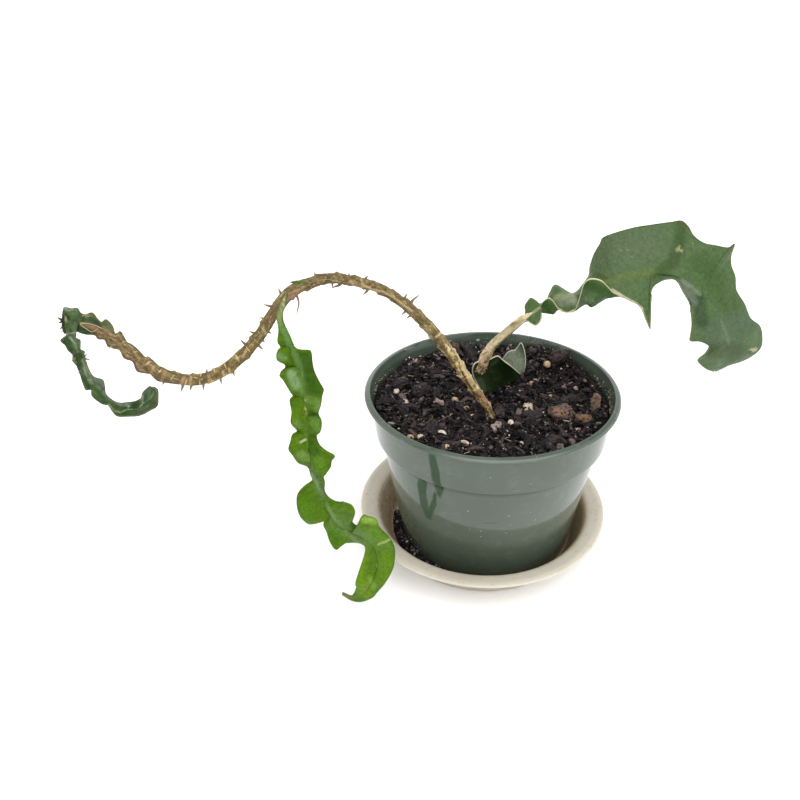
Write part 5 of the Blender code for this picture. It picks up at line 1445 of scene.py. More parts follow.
def make_pot(finish):
    shape = Shape()
    turned(shape, rounded_section(pot_section(), most=0.45, steps=5), 0, POT_WOBBLE)
    pot = shape.make("pot_shell", finish)
    holes = []
    for k in range(DRAIN_HOLES):
        angle = math.tau * (k + 0.4) / DRAIN_HOLES
        holes.append((DRAIN_CIRCLE * math.cos(angle), DRAIN_CIRCLE * math.sin(angle),
                      DRAIN_RADIUS, POT_BASE - 1, POT_BASE + 9))
    drill(pot, holes)
    pot.data.set_sharp_from_angle(angle=math.radians(SHARP_EDGE))
    put_in_place(pot, "green_plastic", "pot")


def make_saucer(finish):
    shape = Shape()
    turned(shape, rounded_section(saucer_section(), most=0.9), SAUCER_OFFSET, SAUCER_WOBBLE)
    put_in_place(shape.make("saucer_dish", finish), "cream_plastic", "saucer")


# Soil


def soil_height(x, y):
    """The soil's surface above the table at a place in the pot, as in the CAD."""
    out = math.hypot(x, y) / pot_radius(POT_RIM, inner=True)
    height = SOIL_MIDDLE + SOIL_EDGE_RISE * out ** 4
    for hill_x, hill_y, rise, width in SOIL_HILLS:
        apart = ((x - hill_x) ** 2 + (y - hill_y) ** 2) / width ** 2
        height += rise * math.exp(-apart)
    for layer, (rise, spacing) in enumerate((CLODS, FINE_LUMPS)):
        height += rise * noise.noise(Vector((x / spacing, y / spacing, 3 + 5 * layer)))
    return height


def soil_tones(rng, count, pale=0.0, places=None):
    """Colours for bark and peat: near black, brown, purple grey and, seldom, tan. pale is
    added to the shares of the three palest. With places, some patches are darker and some
    paler, and the soil is painted paler towards the back as painted light from behind.
    """
    tones = np.array([srgb(*c) for c in SOIL_TONES])
    shares = np.array(SOIL_TONE_SHARES, float)
    shares[-3:] += pale
    picked = tones[rng.choice(len(tones), count, p=shares / shares.sum())]
    picked[:, :3] *= rng.uniform(0.65, 1.35, (count, 1))
    if places is not None:
        patch = smooth_step(noise_at(places * (1, 1, 0), PATCH_SIZE, 40), -0.45, 0.45)
        # Painted light: the soil is painted paler towards the back
        back = smooth_step(places[:, 1], BACK_FROM, BACK_TO)
        picked[:, :3] *= ((PATCH_DARKEST + PATCH_RANGE * patch)
                          * (1 + BACK_PAINTED_LIGHT * back))[:, None]
    return picked


def splinters(shape, rng, centres, lengths, tones, widths=(0.14, 0.4), lean=0.45):
    """Splinters of bark: slim bent boxes, narrower at one end, that lie this way and that."""
    count = len(centres)
    sides = np.array([(-1, -1), (1, -1), (1, 1), (-1, 1)]) / 2
    width = np.asarray(lengths) * rng.uniform(*widths, count)
    depth = width * rng.uniform(0.3, 0.9, count)
    local = np.zeros((count, 3, 4, 3))
    taper = np.stack([rng.uniform(0.3, 0.9, count), np.ones(count),
                      rng.uniform(0.1, 0.7, count)], -1)
    local[..., 0] = (np.array([-0.5, 0.05, 0.5])[None, :, None] * np.reshape(lengths, (-1, 1, 1))
                     + rng.normal(0, 0.09, (count, 3, 4)) * width[:, None, None])
    local[..., 1] = sides[None, None, :, 0] * (width[:, None] * taper)[..., None]
    local[..., 2] = sides[None, None, :, 1] * (depth[:, None] * taper)[..., None]
    local[:, 1, :, 1:] += rng.normal(0, 0.1, (count, 1, 2)) * np.reshape(lengths, (-1, 1, 1))
    roll = rng.uniform(-0.8, 0.8, (count, 1, 1))
    y, z = local[..., 1].copy(), local[..., 2].copy()
    local[..., 1] = y * np.cos(roll) - z * np.sin(roll)
    local[..., 2] = y * np.sin(roll) + z * np.cos(roll)
    local = local.reshape(count, 12, 3)
    turn = rng.uniform(0, math.tau, (count, 1))
    leans = rng.normal(0, lean, (count, 1))
    placed = turned_about(local, turn, leans) + np.asarray(centres)[:, None]
    faces = [ring_faces(3, 4), [(3, 2, 1, 0)], [(8, 9, 10, 11)]]
    block = np.vstack(faces)
    flip = volume(placed[0], [block]) < 0
    block = block[:, ::-1] if flip else block
    blocks = (np.arange(count)[:, None, None] * 12 + block[None]).reshape(-1, 4)
    shape.add(placed, [blocks], outward=False, paint=np.repeat(np.asarray(tones), 12, 0),
              grain=(local + rng.uniform(0, 60, (count, 1, 3))).reshape(-1, 3))


def make_soil(finish):
    """The bed of soil: a rough surface over a closed body that fills the pot."""
    wall = pot_radius(POT_RIM, inner=True) - GAP - BED_CLEAR
    sectors = SOIL_FINE_SECTORS
    angle = math.tau * np.arange(sectors) / sectors
    radii = wall * (np.arange(1, SOIL_FINE_RINGS + 1) / SOIL_FINE_RINGS) ** 0.8
    flat = np.stack([np.outer(radii, np.cos(angle)), np.outer(radii, np.sin(angle))], -1)
    height = np.array([soil_height(x, y) for x, y in flat.reshape(-1, 2)]).reshape(flat.shape[:2])
    points = np.concatenate([flat, height[..., None]], -1)
    level = points * (1, 1, 0)
    rough = (0.9 * noise_at(level, 3.0, 4) + 0.7 * np.abs(noise_at(level, 1.9, 8))
             + 0.35 * noise_at(level, 1.0, 12))
    points[..., 2] += 1.5 * rough - 1.5
    floor = POT_BASE + FLOOR_LIFT + POT_WALL
    sides = ((SHOULDER_RADIUS - POT_WALL - 2 * GAP, SHOULDER_HEIGHT + 3.2),
             (BODY_RADIUS - POT_WALL - 2 * GAP, SHOULDER_HEIGHT + 0.8),
             (FOOT_RADIUS - POT_WALL - GAP, floor + 3),
             (FOOT_RADIUS - POT_WALL - 3, floor + GAP))
    rings = [np.stack([radius * np.cos(angle), radius * np.sin(angle), np.full(sectors, z)], -1)
             for radius, z in sides]
    points = np.concatenate([points, np.stack(rings)])
    rows = len(points)
    count = rows * sectors
    middle = fan(count, 0, sectors)
    bottom = fan(count + 1, count - sectors, sectors, back=True)
    ends = [(0, 0, soil_height(0, 0)), (0, 0, sides[-1][1])]
    shape = Shape()
    shape.add(np.vstack([points.reshape(-1, 3), ends]),
              [ring_faces(rows, sectors)[:, ::-1], middle, bottom], paint=srgb(*SOIL_GROUND))
    put_in_place(shape.make("soil_bed", finish), "bark_soil", "soil")


def corner_reach(rng):
    return np.array([rng.uniform(0.82, 1.12) for _ in range(12)])


def make_bark():
    """The bark and grit that lie in the same places as in the CAD."""
    draws = random.Random(CHIP_SEED)
    rng = np.random.default_rng(CHIP_SEED)
    bark, grit = Shape(), Shape()
    tones = soil_tones(rng, len(BARK_PIECES) + SMALL_CHIPS, pale=0.05)
    for k, (x, y, long, wide, thick, turn, lean) in enumerate(BARK_PIECES):
        rise = math.sin(math.radians(lean)) * long * 0.3
        centre = (x, y, soil_height(x, y) + rise + thick * 0.12)
        tone = srgb(*BARK_COLOURS[k]) if BARK_COLOURS[k] else tuple(tones[k])
        rough_lump(bark, rng, corner_reach(draws), centre, (long, wide, thick),
                   math.radians(turn), math.radians(lean), tone, parts=4)
    for k, (x, y, size) in enumerate(GRIT):
        colour = GRIT_COLOURS[k % len(GRIT_COLOURS)]
        centre = (x, y, soil_height(x, y) + size * 0.15)
        turn = draws.uniform(0, math.pi)
        rough_lump(grit, rng, corner_reach(draws), centre, (size, size * 0.85, size * 0.8),
                   turn, 0, srgb(*colour), parts=2, boxy=2.4, grainy=0.18)
    placed = 0
    while placed < SMALL_CHIPS:
        angle, out = draws.uniform(0, math.tau), CHIP_RADIUS * math.sqrt(draws.random())
        x, y = out * math.cos(angle), out * math.sin(angle)
        size = draws.uniform(*CHIP_LENGTHS)
        turn, lean = draws.uniform(0, math.pi), draws.uniform(-0.3, 0.3)
        near_stem = any(math.hypot(x - a, y - b) < radius for a, b, radius in CHIP_FREE)
        if near_stem or out + size / 2 > CHIP_RADIUS + 2:
            continue
        centre = (x, y, soil_height(x, y) + 1.0)
        sizes = (size, size * draws.uniform(0.4, 0.8), size * draws.uniform(0.35, 0.6))
        rough_lump(bark, rng, corner_reach(draws), centre, sizes, turn, lean,
                   tuple(tones[len(BARK_PIECES) + placed]), parts=3)
        placed += 1
    return bark, grit


def random_places(rng, count, most):
    """Places spread evenly over the soil, with the height of the surface."""
    angle = rng.uniform(0, math.tau, count)
    out = most * np.sqrt(rng.random(count))
    x, y = out * np.cos(angle), out * np.sin(angle)
    z = np.array([soil_height(a, b) for a, b in zip(x, y)])
    return np.stack([x, y, z], -1)


def near_edge(places, sizes, wall):
    """Which places lie too near the pot's wall for lumps of these sizes."""
    return np.hypot(places[:, 0], places[:, 1]) + sizes * 0.6 > wall


def make_litter(bark_finish, grit_finish):
    """Everything that lies on the bed of soil: large bark, crumbs, fibres and grit."""
    rng = np.random.default_rng(CHIP_SEED + 1)
    wall = pot_radius(POT_RIM, inner=True) - LITTER_CLEAR
    bark, grit = make_bark()
    put_in_place(bark.make("bark_pieces", bark_finish), "bark_soil", "soil")

    fine = Shape()
    for count, low, high, lift, parts in LITTER_LAYERS:
        places = random_places(rng, count, wall)
        sizes = rng.uniform(0, 1, count) ** 1.6 * (high - low) + low
        keep = ~near_edge(places, sizes, wall + 0.8)
        places, sizes = places[keep], sizes[keep]
        places[:, 2] += lift * sizes
        tones = soil_tones(rng, len(sizes), places=places)
        crumbs(fine, rng, places, sizes, tones, parts=parts)
    put_in_place(fine.make("soil_crumbs", bark_finish), "bark_soil", "soil")

    chips = Shape()
    places = random_places(rng, SPLINTERS, wall - 0.5)
    lengths = rng.uniform(0, 1, SPLINTERS) ** 2.0 * SPLINTER_RANGE + SPLINTER_SHORTEST
    keep = ~near_edge(places, lengths, wall + 1.0)
    places, lengths = places[keep], lengths[keep]
    places[:, 2] += rng.uniform(-0.3, 1.5, len(lengths))
    tones = soil_tones(rng, len(lengths), pale=0.012, places=places)
    tones[:, :3] *= np.minimum(1, PALE_LENGTH / lengths)[:, None] ** 1.5
    splinters(chips, rng, places, lengths, tones)
    for x, y, long, wide, thick, *_ in BARK_PIECES:
        places = rng.normal(0, 1, (PEAT_ON_BARK, 3)) * (long * 0.24, wide * 0.28, 0) + (x, y, 0)
        places[:, 2] = soil_height(x, y) + thick * rng.uniform(0.3, 0.55, PEAT_ON_BARK)
        splinters(chips, rng, places, rng.uniform(*PEAT_LENGTHS, PEAT_ON_BARK),
                  soil_tones(rng, PEAT_ON_BARK), lean=0.5)
    places = random_places(rng, SLABS, wall - 4)
    places[:, 2] += rng.uniform(0.2, 1.6, SLABS)
    tones = np.array([srgb(*SLAB_TONES[k % len(SLAB_TONES)]) for k in range(SLABS)])
    splinters(chips, rng, places, rng.uniform(*SLAB_LENGTHS, SLABS), tones, widths=(0.2, 0.42),
              lean=0.35)
    put_in_place(chips.make("soil_splinters", bark_finish, smooth=False), "bark_soil", "soil")

    fibres = Shape()
    places = random_places(rng, FIBRES, wall - 5)
    for place, tone in zip(places, soil_tones(rng, FIBRES, pale=0.03)):
        length = rng.uniform(*FIBRE_LENGTHS)
        turn = rng.uniform(0, math.pi)
        step = np.array([math.cos(turn), math.sin(turn), 0]) * length / 2
        rows = []
        for share in (-1, -0.4, 0.3, 1):
            point = place + step * share + rng.normal(0, 0.45, 3)
            point[2] = soil_height(point[0], point[1]) + 0.9 + rng.uniform(0, 0.9)
            rows.append((*point, 0.22 * (1.1 - abs(share)) + 0.06))
        stem(fibres, rows, step=1.0, sides=6, paint=tuple(tone))
    put_in_place(fibres.make("soil_fibres", bark_finish), "bark_soil", "soil")

    places = random_places(rng, SPECKS, wall - 1)
    places[:, 2] += 0.9
    colours = np.array([srgb(*c) for c in SPECK_COLOURS])
    picked = colours[rng.integers(0, len(colours), SPECKS)]
    crumbs(grit, rng, places, rng.uniform(*SPECK_SIZES, SPECKS), picked, flatness=(0.7, 1.0))
    for low, high, count in WALL_DEBRIS:
        turn = np.radians(rng.uniform(low, high, count))
        height = np.array([soil_height(wall * math.cos(a), wall * math.sin(a)) for a in turn])
        height += 0.5 + np.abs(rng.normal(0, DEBRIS_RISE, count))
        out = np.array([pot_radius(min(z, POT_RIM), inner=True) for z in height]) - 0.25
        centres = np.stack([out * np.cos(turn), out * np.sin(turn), height], -1)
        picked = colours[rng.integers(0, len(colours), count)]
        picked = picked * (DEBRIS_SHADE, DEBRIS_SHADE, DEBRIS_SHADE, 1)
        crumbs(grit, rng, centres, rng.uniform(*DEBRIS_SIZES, count), picked, parts=0)
    put_in_place(grit.make("soil_grit", grit_finish), "bark_soil", "soil")


def make_spilled_soil(finish):
    """Soil washed out into the saucer: a low ridge of peat with crumbs on it."""
    rng = np.random.default_rng(CHIP_SEED + 2)
    draws = random.Random(CHIP_SEED)
    shape = Shape()
    rings = []
    for step in range(CRUMBS_STEPS + 1):
        share = step / CRUMBS_STEPS
        angle = math.radians(CRUMBS_FROM + (CRUMBS_TO - CRUMBS_FROM) * share)
        direction = Vector((math.cos(angle), math.sin(angle), 0))
        inner = pot_radius(POT_BASE + 4) + GAP
        along = SAUCER_OFFSET * direction.x
        edge = SAUCER_FOOT_RADIUS - 2.0 - GAP
        outer = along + math.sqrt(edge ** 2 - (SAUCER_OFFSET * direction.y) ** 2)
        taper = min(1.0, share * 6, (1 - share) * 6) ** 0.5
        low = SAUCER_FLOOR + GAP
        height = low + 0.8 + taper * (0.55 * (outer - inner) + draws.uniform(0.3, 1.2))
        floor_out = outer - min(1.8, 0.45 * (outer - inner))
        bump = [draws.uniform(-0.3, 0.3) for _ in range(3)]
        section = (
            (inner, low), (floor_out, low), (outer, low + min(1.2, 0.5 * (height - low))),
            (outer * 0.6 + inner * 0.4, height - 0.8 + bump[0]),
            (outer * 0.25 + inner * 0.75, height + bump[1]), (inner + 0.1, height + bump[2]),
        )
        rings.append([(*(direction * radius).to_2d(), z) for radius, z in section])
    rings = np.array(rings)
    fine = np.stack([smooth_path(rings[:, k], 8) for k in range(rings.shape[1])], 1)
    split = np.concatenate([fine[:, :1], fine[:, 1:2],
                            *[fine[:, k:k + 1] * (1 - t) + fine[:, k + 1:k + 2] * t
                              for k in (1, 2, 3, 4) for t in (0.34, 0.67, 1.0)]], 1)
    lift = 0.5 * np.abs(noise_at(split, 1.7, 3)) + 0.25 * noise_at(split, 0.9, 6)
    lift[:, :2] = 0
    lift[:, -1] *= 0.3
    split[..., 2] += lift
    rows, columns = split.shape[:2]
    shape.add(split, [ring_faces(rows, columns), *end_faces(rows, columns)],
              paint=srgb(*SOIL_GROUND))
    for scattered, count, lift, least, most in TROUGH_LITTER:
        scatter = {"crumbs": crumbs, "splinters": splinters}[scattered]
        row = rng.integers(4, rows - 4, count)
        column = rng.integers(5, columns - 1, count)
        scatter(shape, rng, split[row, column] + (0, 0, lift), rng.uniform(least, most, count),
                soil_tones(rng, count))
    put_in_place(shape.make("saucer_crumbs", finish), "bark_soil", "spilled_soil")


# Materials


class Finish:
    """A material, with short ways to add the nodes that the ones here need."""

    def __init__(self, name, **uniform):
        self.material = bpy.data.materials.new(name)
        self.material.use_nodes = True
        self.tree = self.material.node_tree
        self.shader = self.tree.nodes["Principled BSDF"]
        for socket, value in uniform.items():
            self.shader.inputs[socket.replace("_", " ")].default_value = value
        self.place = self.node("TexCoord").outputs["Object"]

    def node(self, kind, inputs=(), **settings):
        made = self.tree.nodes.new("ShaderNode" + kind)
        for key, value in settings.items():
            setattr(made, key, value)
        for key, value in dict(inputs).items():
            if isinstance(value, bpy.types.NodeSocket):
                self.tree.links.new(value, made.inputs[key])
            else:
                made.inputs[key].default_value = value
        return made

    def connect(self, **sockets):
        for socket, value in sockets.items():
            self.tree.links.new(value, self.shader.inputs[socket.replace("_", " ")])

    def noise(self, size, detail=3.0, roughness=0.55, where=None, distortion=0.0):
        """Cloudy noise from 0 to 1 with lumps of about this size in mm."""
        scale = 1000 / size if where is None else 1 / size
        made = self.node("TexNoise", {"Vector": where or self.place, "Scale": scale,
                                      "Detail": detail, "Roughness": roughness,
                                      "Distortion": distortion})
        return made.outputs["Fac"]

    def cells(self, size):
        """How far each place is from the nearest of many points about this many mm apart."""
        made = self.node("TexVoronoi", {"Vector": self.place, "Scale": 1000 / size}, feature="F1")
        return made.outputs["Distance"]

    def stretched(self, where, factors):
        return self.node("VectorMath", {0: where, 1: factors}, operation="MULTIPLY").outputs[0]

    def kept(self, name, output="Fac"):
        return self.node("Attribute", attribute_name=name).outputs[output]

    def between(self, value, low, high, start=0.0, end=1.0):
        """start where the value is low or less, end where it is high or more, smooth between."""
        made = self.node("MapRange", {"Value": value, "From Min": low, "From Max": high,
                                      "To Min": start, "To Max": end},
                         interpolation_type="SMOOTHSTEP")
        return made.outputs["Result"]

    def math(self, operation, first, second=0.0):
        return self.node("Math", {0: first, 1: second}, operation=operation).outputs[0]

    def mix(self, factor, first, second, blend="MIX"):
        made = self.node("Mix", {0: factor, 6: first, 7: second}, data_type="RGBA",
                         blend_type=blend)
        return made.outputs[2]

    def ramp(self, factor, *stops):
        made = self.node("ValToRGB", {"Fac": factor})
        elements = made.color_ramp.elements
        while len(elements) < len(stops):
            elements.new(0.5)
        for element, (position, colour) in zip(elements, stops):
            element.position = position
            element.color = colour
        return made.outputs["Color"]

    def bump(self, height, depth, base=None):
        """A normal for relief of this depth in mm."""
        inputs = {"Height": height, "Distance": depth * MM, "Strength": 1.0}
        if base is not None:
            inputs["Normal"] = base
        return self.node("Bump", inputs).outputs["Normal"]

    def spot(self, centre, radius, strength):
        """A small spot round a place in mm: its half sizes along the three axes, and strength."""
        away = self.node("VectorMath", {0: self.place, 1: [value * MM for value in centre]},
                         operation="SUBTRACT").outputs[0]
        scaled = self.stretched(away, [1 / (value * MM) for value in radius])
        length = self.node("VectorMath", {0: scaled}, operation="LENGTH").outputs["Value"]
        return self.between(length, 0.7, 1.1, strength, 0)

    def line(self, start, end, width):
        """1 within this half width of the line between two places in mm, fading past it."""
        start = np.array(start) * MM
        onward = np.array(end) * MM - start
        away = self.node("VectorMath", {0: self.place, 1: start}, operation="SUBTRACT").outputs[0]
        along = self.node("VectorMath", {0: away, 1: onward / (onward @ onward)},
                          operation="DOT_PRODUCT").outputs["Value"]
        share = self.node("Clamp", {"Value": along}).outputs[0]
        foot = self.node("VectorMath", {0: onward, "Scale": share}, operation="SCALE").outputs[0]
        gap = self.node("VectorMath", {0: away, 1: foot}, operation="DISTANCE").outputs["Value"]
        return self.between(gap, width * MM * 0.8, width * MM * 1.35, 1, 0)

    def height(self):
        return self.node("SeparateXYZ", {0: self.place}).outputs["Z"]


def leaf_finish(name, deep, pale, dust, vein, margin, roughness=0.36, vein_strength=0.5,
                margin_width=0.5, shine=0.16, mottle=0.15):
    """Smooth, slightly waxy green skin: cloudy greens, a faint midrib and a thin margin."""
    f = Finish(name, Specular_IOR_Level=shine, Subsurface_Weight=0.08, Subsurface_Scale=0.0015)
    f.shader.inputs["Subsurface Radius"].default_value = (0.6, 1.0, 0.2)
    broad = f.noise(16, detail=4, distortion=0.4)
    fine = f.noise(1.6, detail=4)
    body = f.ramp(broad, (0.3, skin(*deep)), (0.7, skin(*pale)))
    body = f.mix(f.between(f.noise(5.5, detail=5), 0.5, 0.78, 0, 0.4), body, skin(*dust))
    offset = f.math("ABSOLUTE", f.kept("offset"))
    ridge = f.between(offset, 0.3, 1.6, 1, 0)
    ridge = f.math("MULTIPLY", ridge, f.between(fine, 0.2, 0.6, 0.5, 1))
    body = f.mix(f.math("MULTIPLY", ridge, vein_strength), body, skin(*vein))
    paint = f.node("Attribute", attribute_name="paint")
    body = f.mix(paint.outputs["Alpha"], body, paint.outputs["Color"])
    blotch = f.noise(2.6, detail=5, roughness=0.6)
    body = f.mix(f.between(blotch, 0.38, 0.52, mottle, 0), body, skin(*MOTTLE_DARK))
    body = f.mix(f.between(blotch, 0.56, 0.7, 0, mottle * 0.6), body, skin(*dust))
    grain = f.between(fine, 0.3, 0.7, 0.82, 1.16)
    grey = f.node("CombineColor", {0: grain, 1: grain, 2: grain}).outputs[0]
    body = f.mix(1.0, body, grey, "MULTIPLY")
    edge = f.between(f.kept("rim"), margin_width * 0.6, margin_width * 1.3, 1, 0)
    body = f.mix(f.math("MULTIPLY", edge, f.kept("margin")), body, skin(*margin))
    flecks = f.between(f.cells(2.4), 0.05, 0.12, 0.35, 0)
    some = f.between(f.noise(9, detail=2), 0.5, 0.62)
    body = f.mix(f.math("MULTIPLY", flecks, some), body, skin(*margin))
    pores = f.cells(0.9)
    relief = f.bump(f.math("ADD", fine, f.math("MULTIPLY", pores, 0.4)), 0.06)
    wax = f.noise(3.2, detail=4)
    f.connect(Base_Color=body, Normal=relief,
              Roughness=f.between(wax, 0.3, 0.7, roughness - 0.08, roughness + 0.12))
    return f.material


def woody_finish(name):
    """Corky tan bark: olive and brown clouds, a net of pale scale lips, and painted shade in its
    recesses and beside the lips.
    """
    f = Finish(name, Specular_IOR_Level=0.2)
    grain = f.kept("grain", "Vector")
    along = f.stretched(grain, (1.0, 1.0, 0.42))
    body = f.kept("paint", "Color")
    cloud = f.noise(1.6, detail=6, where=along, roughness=0.65)
    body = f.mix(f.between(cloud, 0.44, 0.66, 0, 0.35), body, srgb(*WOOD_CLOUD))
    olive = f.between(f.noise(6, detail=3, where=grain), 0.46, 0.66, 0, 0.5)
    body = f.mix(olive, body, srgb(*WOOD_OLIVE))
    rosy = f.noise(4, detail=4, where=f.stretched(grain, (1.3, -0.8, 0.7)))
    body = f.mix(f.between(rosy, 0.58, 0.7, 0, 0.3), body, srgb(*WOOD_ROSY))
    # Painted shade: darker where the surface lies sunk below its plain radius
    recess_shade = f.between(f.kept("relief"), -0.3, 0.15, 0.7, 0)
    body = f.mix(recess_shade, body, srgb(*WOOD_RECESS_SHADE))
    fibre = f.noise(0.6, detail=5, where=f.stretched(grain, (1.0, 1.0, 0.2)))
    body = f.mix(f.between(fibre, 0.34, 0.54, 0.45, 0), body, srgb(*WOOD_FIBRE))
    fleck = f.noise(1.1, detail=4, where=f.stretched(grain, (1.0, 1.0, 0.6)), roughness=0.7)
    body = f.mix(f.between(fleck, 0.56, 0.64, 0, 0.5), body, srgb(*WOOD_FLECK))
    body = f.mix(f.between(fleck, 0.38, 0.46, 0.6, 0), body, srgb(*WOOD_FLECK_DARK))
    # Painted shade: a dark band on each side of the scale lips
    near_lip = f.between(f.kept("net"), 0.04, 0.22)
    beside = f.math("MULTIPLY", near_lip, f.between(f.kept("net"), 0.22, 0.5, 1, 0))
    body = f.mix(f.math("MULTIPLY", beside, 0.6), body, srgb(*NET_LIP_SHADE))
    lip = f.between(f.kept("net"), 0.4, 0.75, 0, 0.8)
    body = f.mix(f.math("MULTIPLY", lip, f.between(cloud, 0.3, 0.5, 0.6, 1)), body, srgb(*NET_TONE))
    over = f.node("Attribute", attribute_name="over")
    cover = f.math("MULTIPLY", over.outputs["Alpha"], f.between(fleck, 0.35, 0.55, 0.5, 1.0))
    body = f.mix(cover, body, over.outputs["Color"])
    f.connect(Base_Color=body, Normal=f.bump(f.math("ADD", fibre, cloud), 0.25),
              Roughness=f.between(cloud, 0.3, 0.7, 0.45, 0.75))
    return f.material


def pot_finish(name):
    """Thin glossy nursery-pot plastic, deep green, with dust specks and a few scratches, painted
    shade under the shoulder ledge and a painted dark reflection of the hanging branch on its left
    front.
    """
    f = Finish(name, IOR=1.7)
    broad = f.noise(60, detail=3)
    body = f.ramp(broad, (0.3, srgb(*POT_GREEN_DEEP)), (0.7, srgb(*POT_GREEN)))
    dust = f.noise(9, detail=6, roughness=0.65)
    body = f.mix(f.between(dust, 0.5, 0.8, 0, 0.14), body, srgb(*POT_DUST))
    some = f.between(f.noise(14, detail=2), 0.5, 0.58)
    flecks = f.between(f.cells(5.0), 0.035, 0.075, 0.6, 0)
    body = f.mix(f.math("MULTIPLY", flecks, some), body, srgb(*POT_FLECK))
    scratches = f.noise(1.4, detail=2, where=f.stretched(f.place, (140, 140, 1100)))
    marks = f.math("MULTIPLY", f.between(scratches, 0.67, 0.72, 0, 0.3), some)
    body = f.mix(marks, body, srgb(*POT_DUST))
    # Grit and peat that stick to the inner wall above the soil
    z = f.math("MULTIPLY", f.height(), 1000)
    inside = f.math("MULTIPLY", f.kept("within"), f.between(z, POT_RIM - 3, POT_RIM - 1.5, 1, 0))
    low = f.between(z, SOIL_MIDDLE + 2, SOIL_MIDDLE + 11, 1, 0.12)
    stuck = f.between(f.noise(1.1, detail=4, roughness=0.7), 0.56, 0.66)
    grimy = f.math("MULTIPLY", f.math("MULTIPLY", inside, low), stuck)
    tones = f.ramp(f.noise(0.9, detail=2), (0.42, srgb(*WALL_GRIME_DARK)),
                   (0.6, srgb(*WALL_GRIME_PALE)))
    body = f.mix(f.math("MULTIPLY", grimy, 0.7), body, tones)
    # Painted shade: a dark band on the wall just under the shoulder ledge, also less glossy there
    ledge_shade = f.math("MULTIPLY", f.between(z, SHOULDER_HEIGHT - 6.5, SHOULDER_HEIGHT - 2.2),
                   f.between(z, SHOULDER_HEIGHT - 0.2, SHOULDER_HEIGHT + 0.6, 0.5, 0))
    body = f.mix(ledge_shade, body, srgb(*PAINTED_LEDGE_SHADE))
    for centre, radius, colour, strength in POT_SPOTS:
        body = f.mix(f.spot(centre, radius, strength), body, srgb(*colour))
    cloud = f.noise(22, detail=5)
    rough = f.math("ADD", f.between(cloud, 0.3, 0.75, 0.03, 0.09), f.math("MULTIPLY", marks, 0.6))
    rough = f.math("ADD", rough, f.math("MULTIPLY", inside, 0.16))
    # Painted reflection: the hanging branch's dark reflection on the left front, painted green and
    # dulled
    reflection_streak = 0.0
    for start, end, width in PAINTED_REFLECTION_STREAKS:
        reflection_streak = f.math("MAXIMUM", reflection_streak, f.line(start, end, width))
    reflection_streak = f.math("MULTIPLY", reflection_streak, f.between(f.noise(4, detail=4), 0.3, 0.46, 0.7, 1))
    body = f.mix(f.math("MULTIPLY", reflection_streak, 0.6), body, srgb(*PAINTED_REFLECTION_GREEN))
    dull = f.math("MAXIMUM", reflection_streak, f.math("MULTIPLY", ledge_shade, 0.5))
    uneven = f.bump(f.noise(34, detail=1), 0.05, f.bump(f.noise(0.9, detail=2), 0.002))
    f.connect(Base_Color=body, Roughness=rough, Normal=uneven,
              Specular_IOR_Level=f.between(dull, 0, 1, 0.42, 0.04))
    return f.material


def saucer_finish(name):
    """Cream plastic, water-stained brown inside, with a few dark specks; painted shade darkens the
    right of the trough and the outer wall below the flange.
    """
    f = Finish(name, Specular_IOR_Level=0.25)
    broad = f.noise(40, detail=4)
    body = f.ramp(broad, (0.3, srgb(*SAUCER_CREAM_DEEP)), (0.7, srgb(*SAUCER_CREAM)))
    x, y, z = f.node("SeparateXYZ", {0: f.stretched(f.place, (1000, 1000, 1000))}).outputs
    x = f.math("SUBTRACT", x, SAUCER_OFFSET)
    across = f.math("SQRT", f.math("ADD", f.math("MULTIPLY", x, x), f.math("MULTIPLY", y, y)))
    below_flange = f.between(across, SAUCER_WALL_TOP_RADIUS - 2.5, SAUCER_WALL_TOP_RADIUS + 3.5,
                             1, 0)
    inside = f.math("MULTIPLY", f.kept("within"), below_flange)
    runs = f.noise(5, detail=6, roughness=0.62, where=f.stretched(f.place, (1000, 1000, 260)))
    stain = f.between(runs, 0.28, 0.6, 0.5, 1.0)
    stain_tones = f.ramp(f.noise(3, detail=5), (0.38, srgb(*SAUCER_STAIN_DEEP)),
                         (0.62, srgb(*SAUCER_STAIN)))
    body = f.mix(f.math("MULTIPLY", inside, stain), body, stain_tones)
    # Painted shade: the trough darkens towards the right, where the pot shades it
    right = f.math("MULTIPLY", inside, f.between(x, 15, 50, 0, 0.75))
    body = f.mix(right, body, srgb(*SAUCER_RIGHT_SHADE))
    grime = f.between(f.noise(3.4, detail=6, roughness=0.7), 0.5, 0.72, 0, 0.5)
    body = f.mix(grime, body, srgb(*SAUCER_GRIME))
    # Painted shade: the outer wall below the flange is darker
    outside = f.math("SUBTRACT", 1.0, f.kept("within"))
    foot = f.math("MULTIPLY", outside, f.between(z, SAUCER_WALL_TOP - 3, SAUCER_WALL_TOP, 0.85, 0))
    body = f.mix(foot, body, srgb(*SAUCER_FOOT_SHADE))
    outward = f.node("CombineXYZ", {0: f.math("MULTIPLY", across, 1.6)}).outputs[0]
    rings = f.noise(1.0, detail=3, where=outward)
    body = f.mix(f.between(rings, 0.45, 0.7, 0, 0.18), body, srgb(*SAUCER_GRIME))
    some = f.between(f.noise(11, detail=2), 0.46, 0.56)
    specks = f.math("MULTIPLY", f.between(f.cells(5.5), 0.03, 0.085, 0.9, 0), some)
    body = f.mix(specks, body, srgb(*SAUCER_SPECK))
    f.connect(Base_Color=body, Roughness=f.between(f.noise(12, detail=5), 0.3, 0.7, 0.3, 0.5),
              Normal=f.bump(f.math("ADD", f.noise(1.4, detail=4), rings), 0.04))
    return f.material


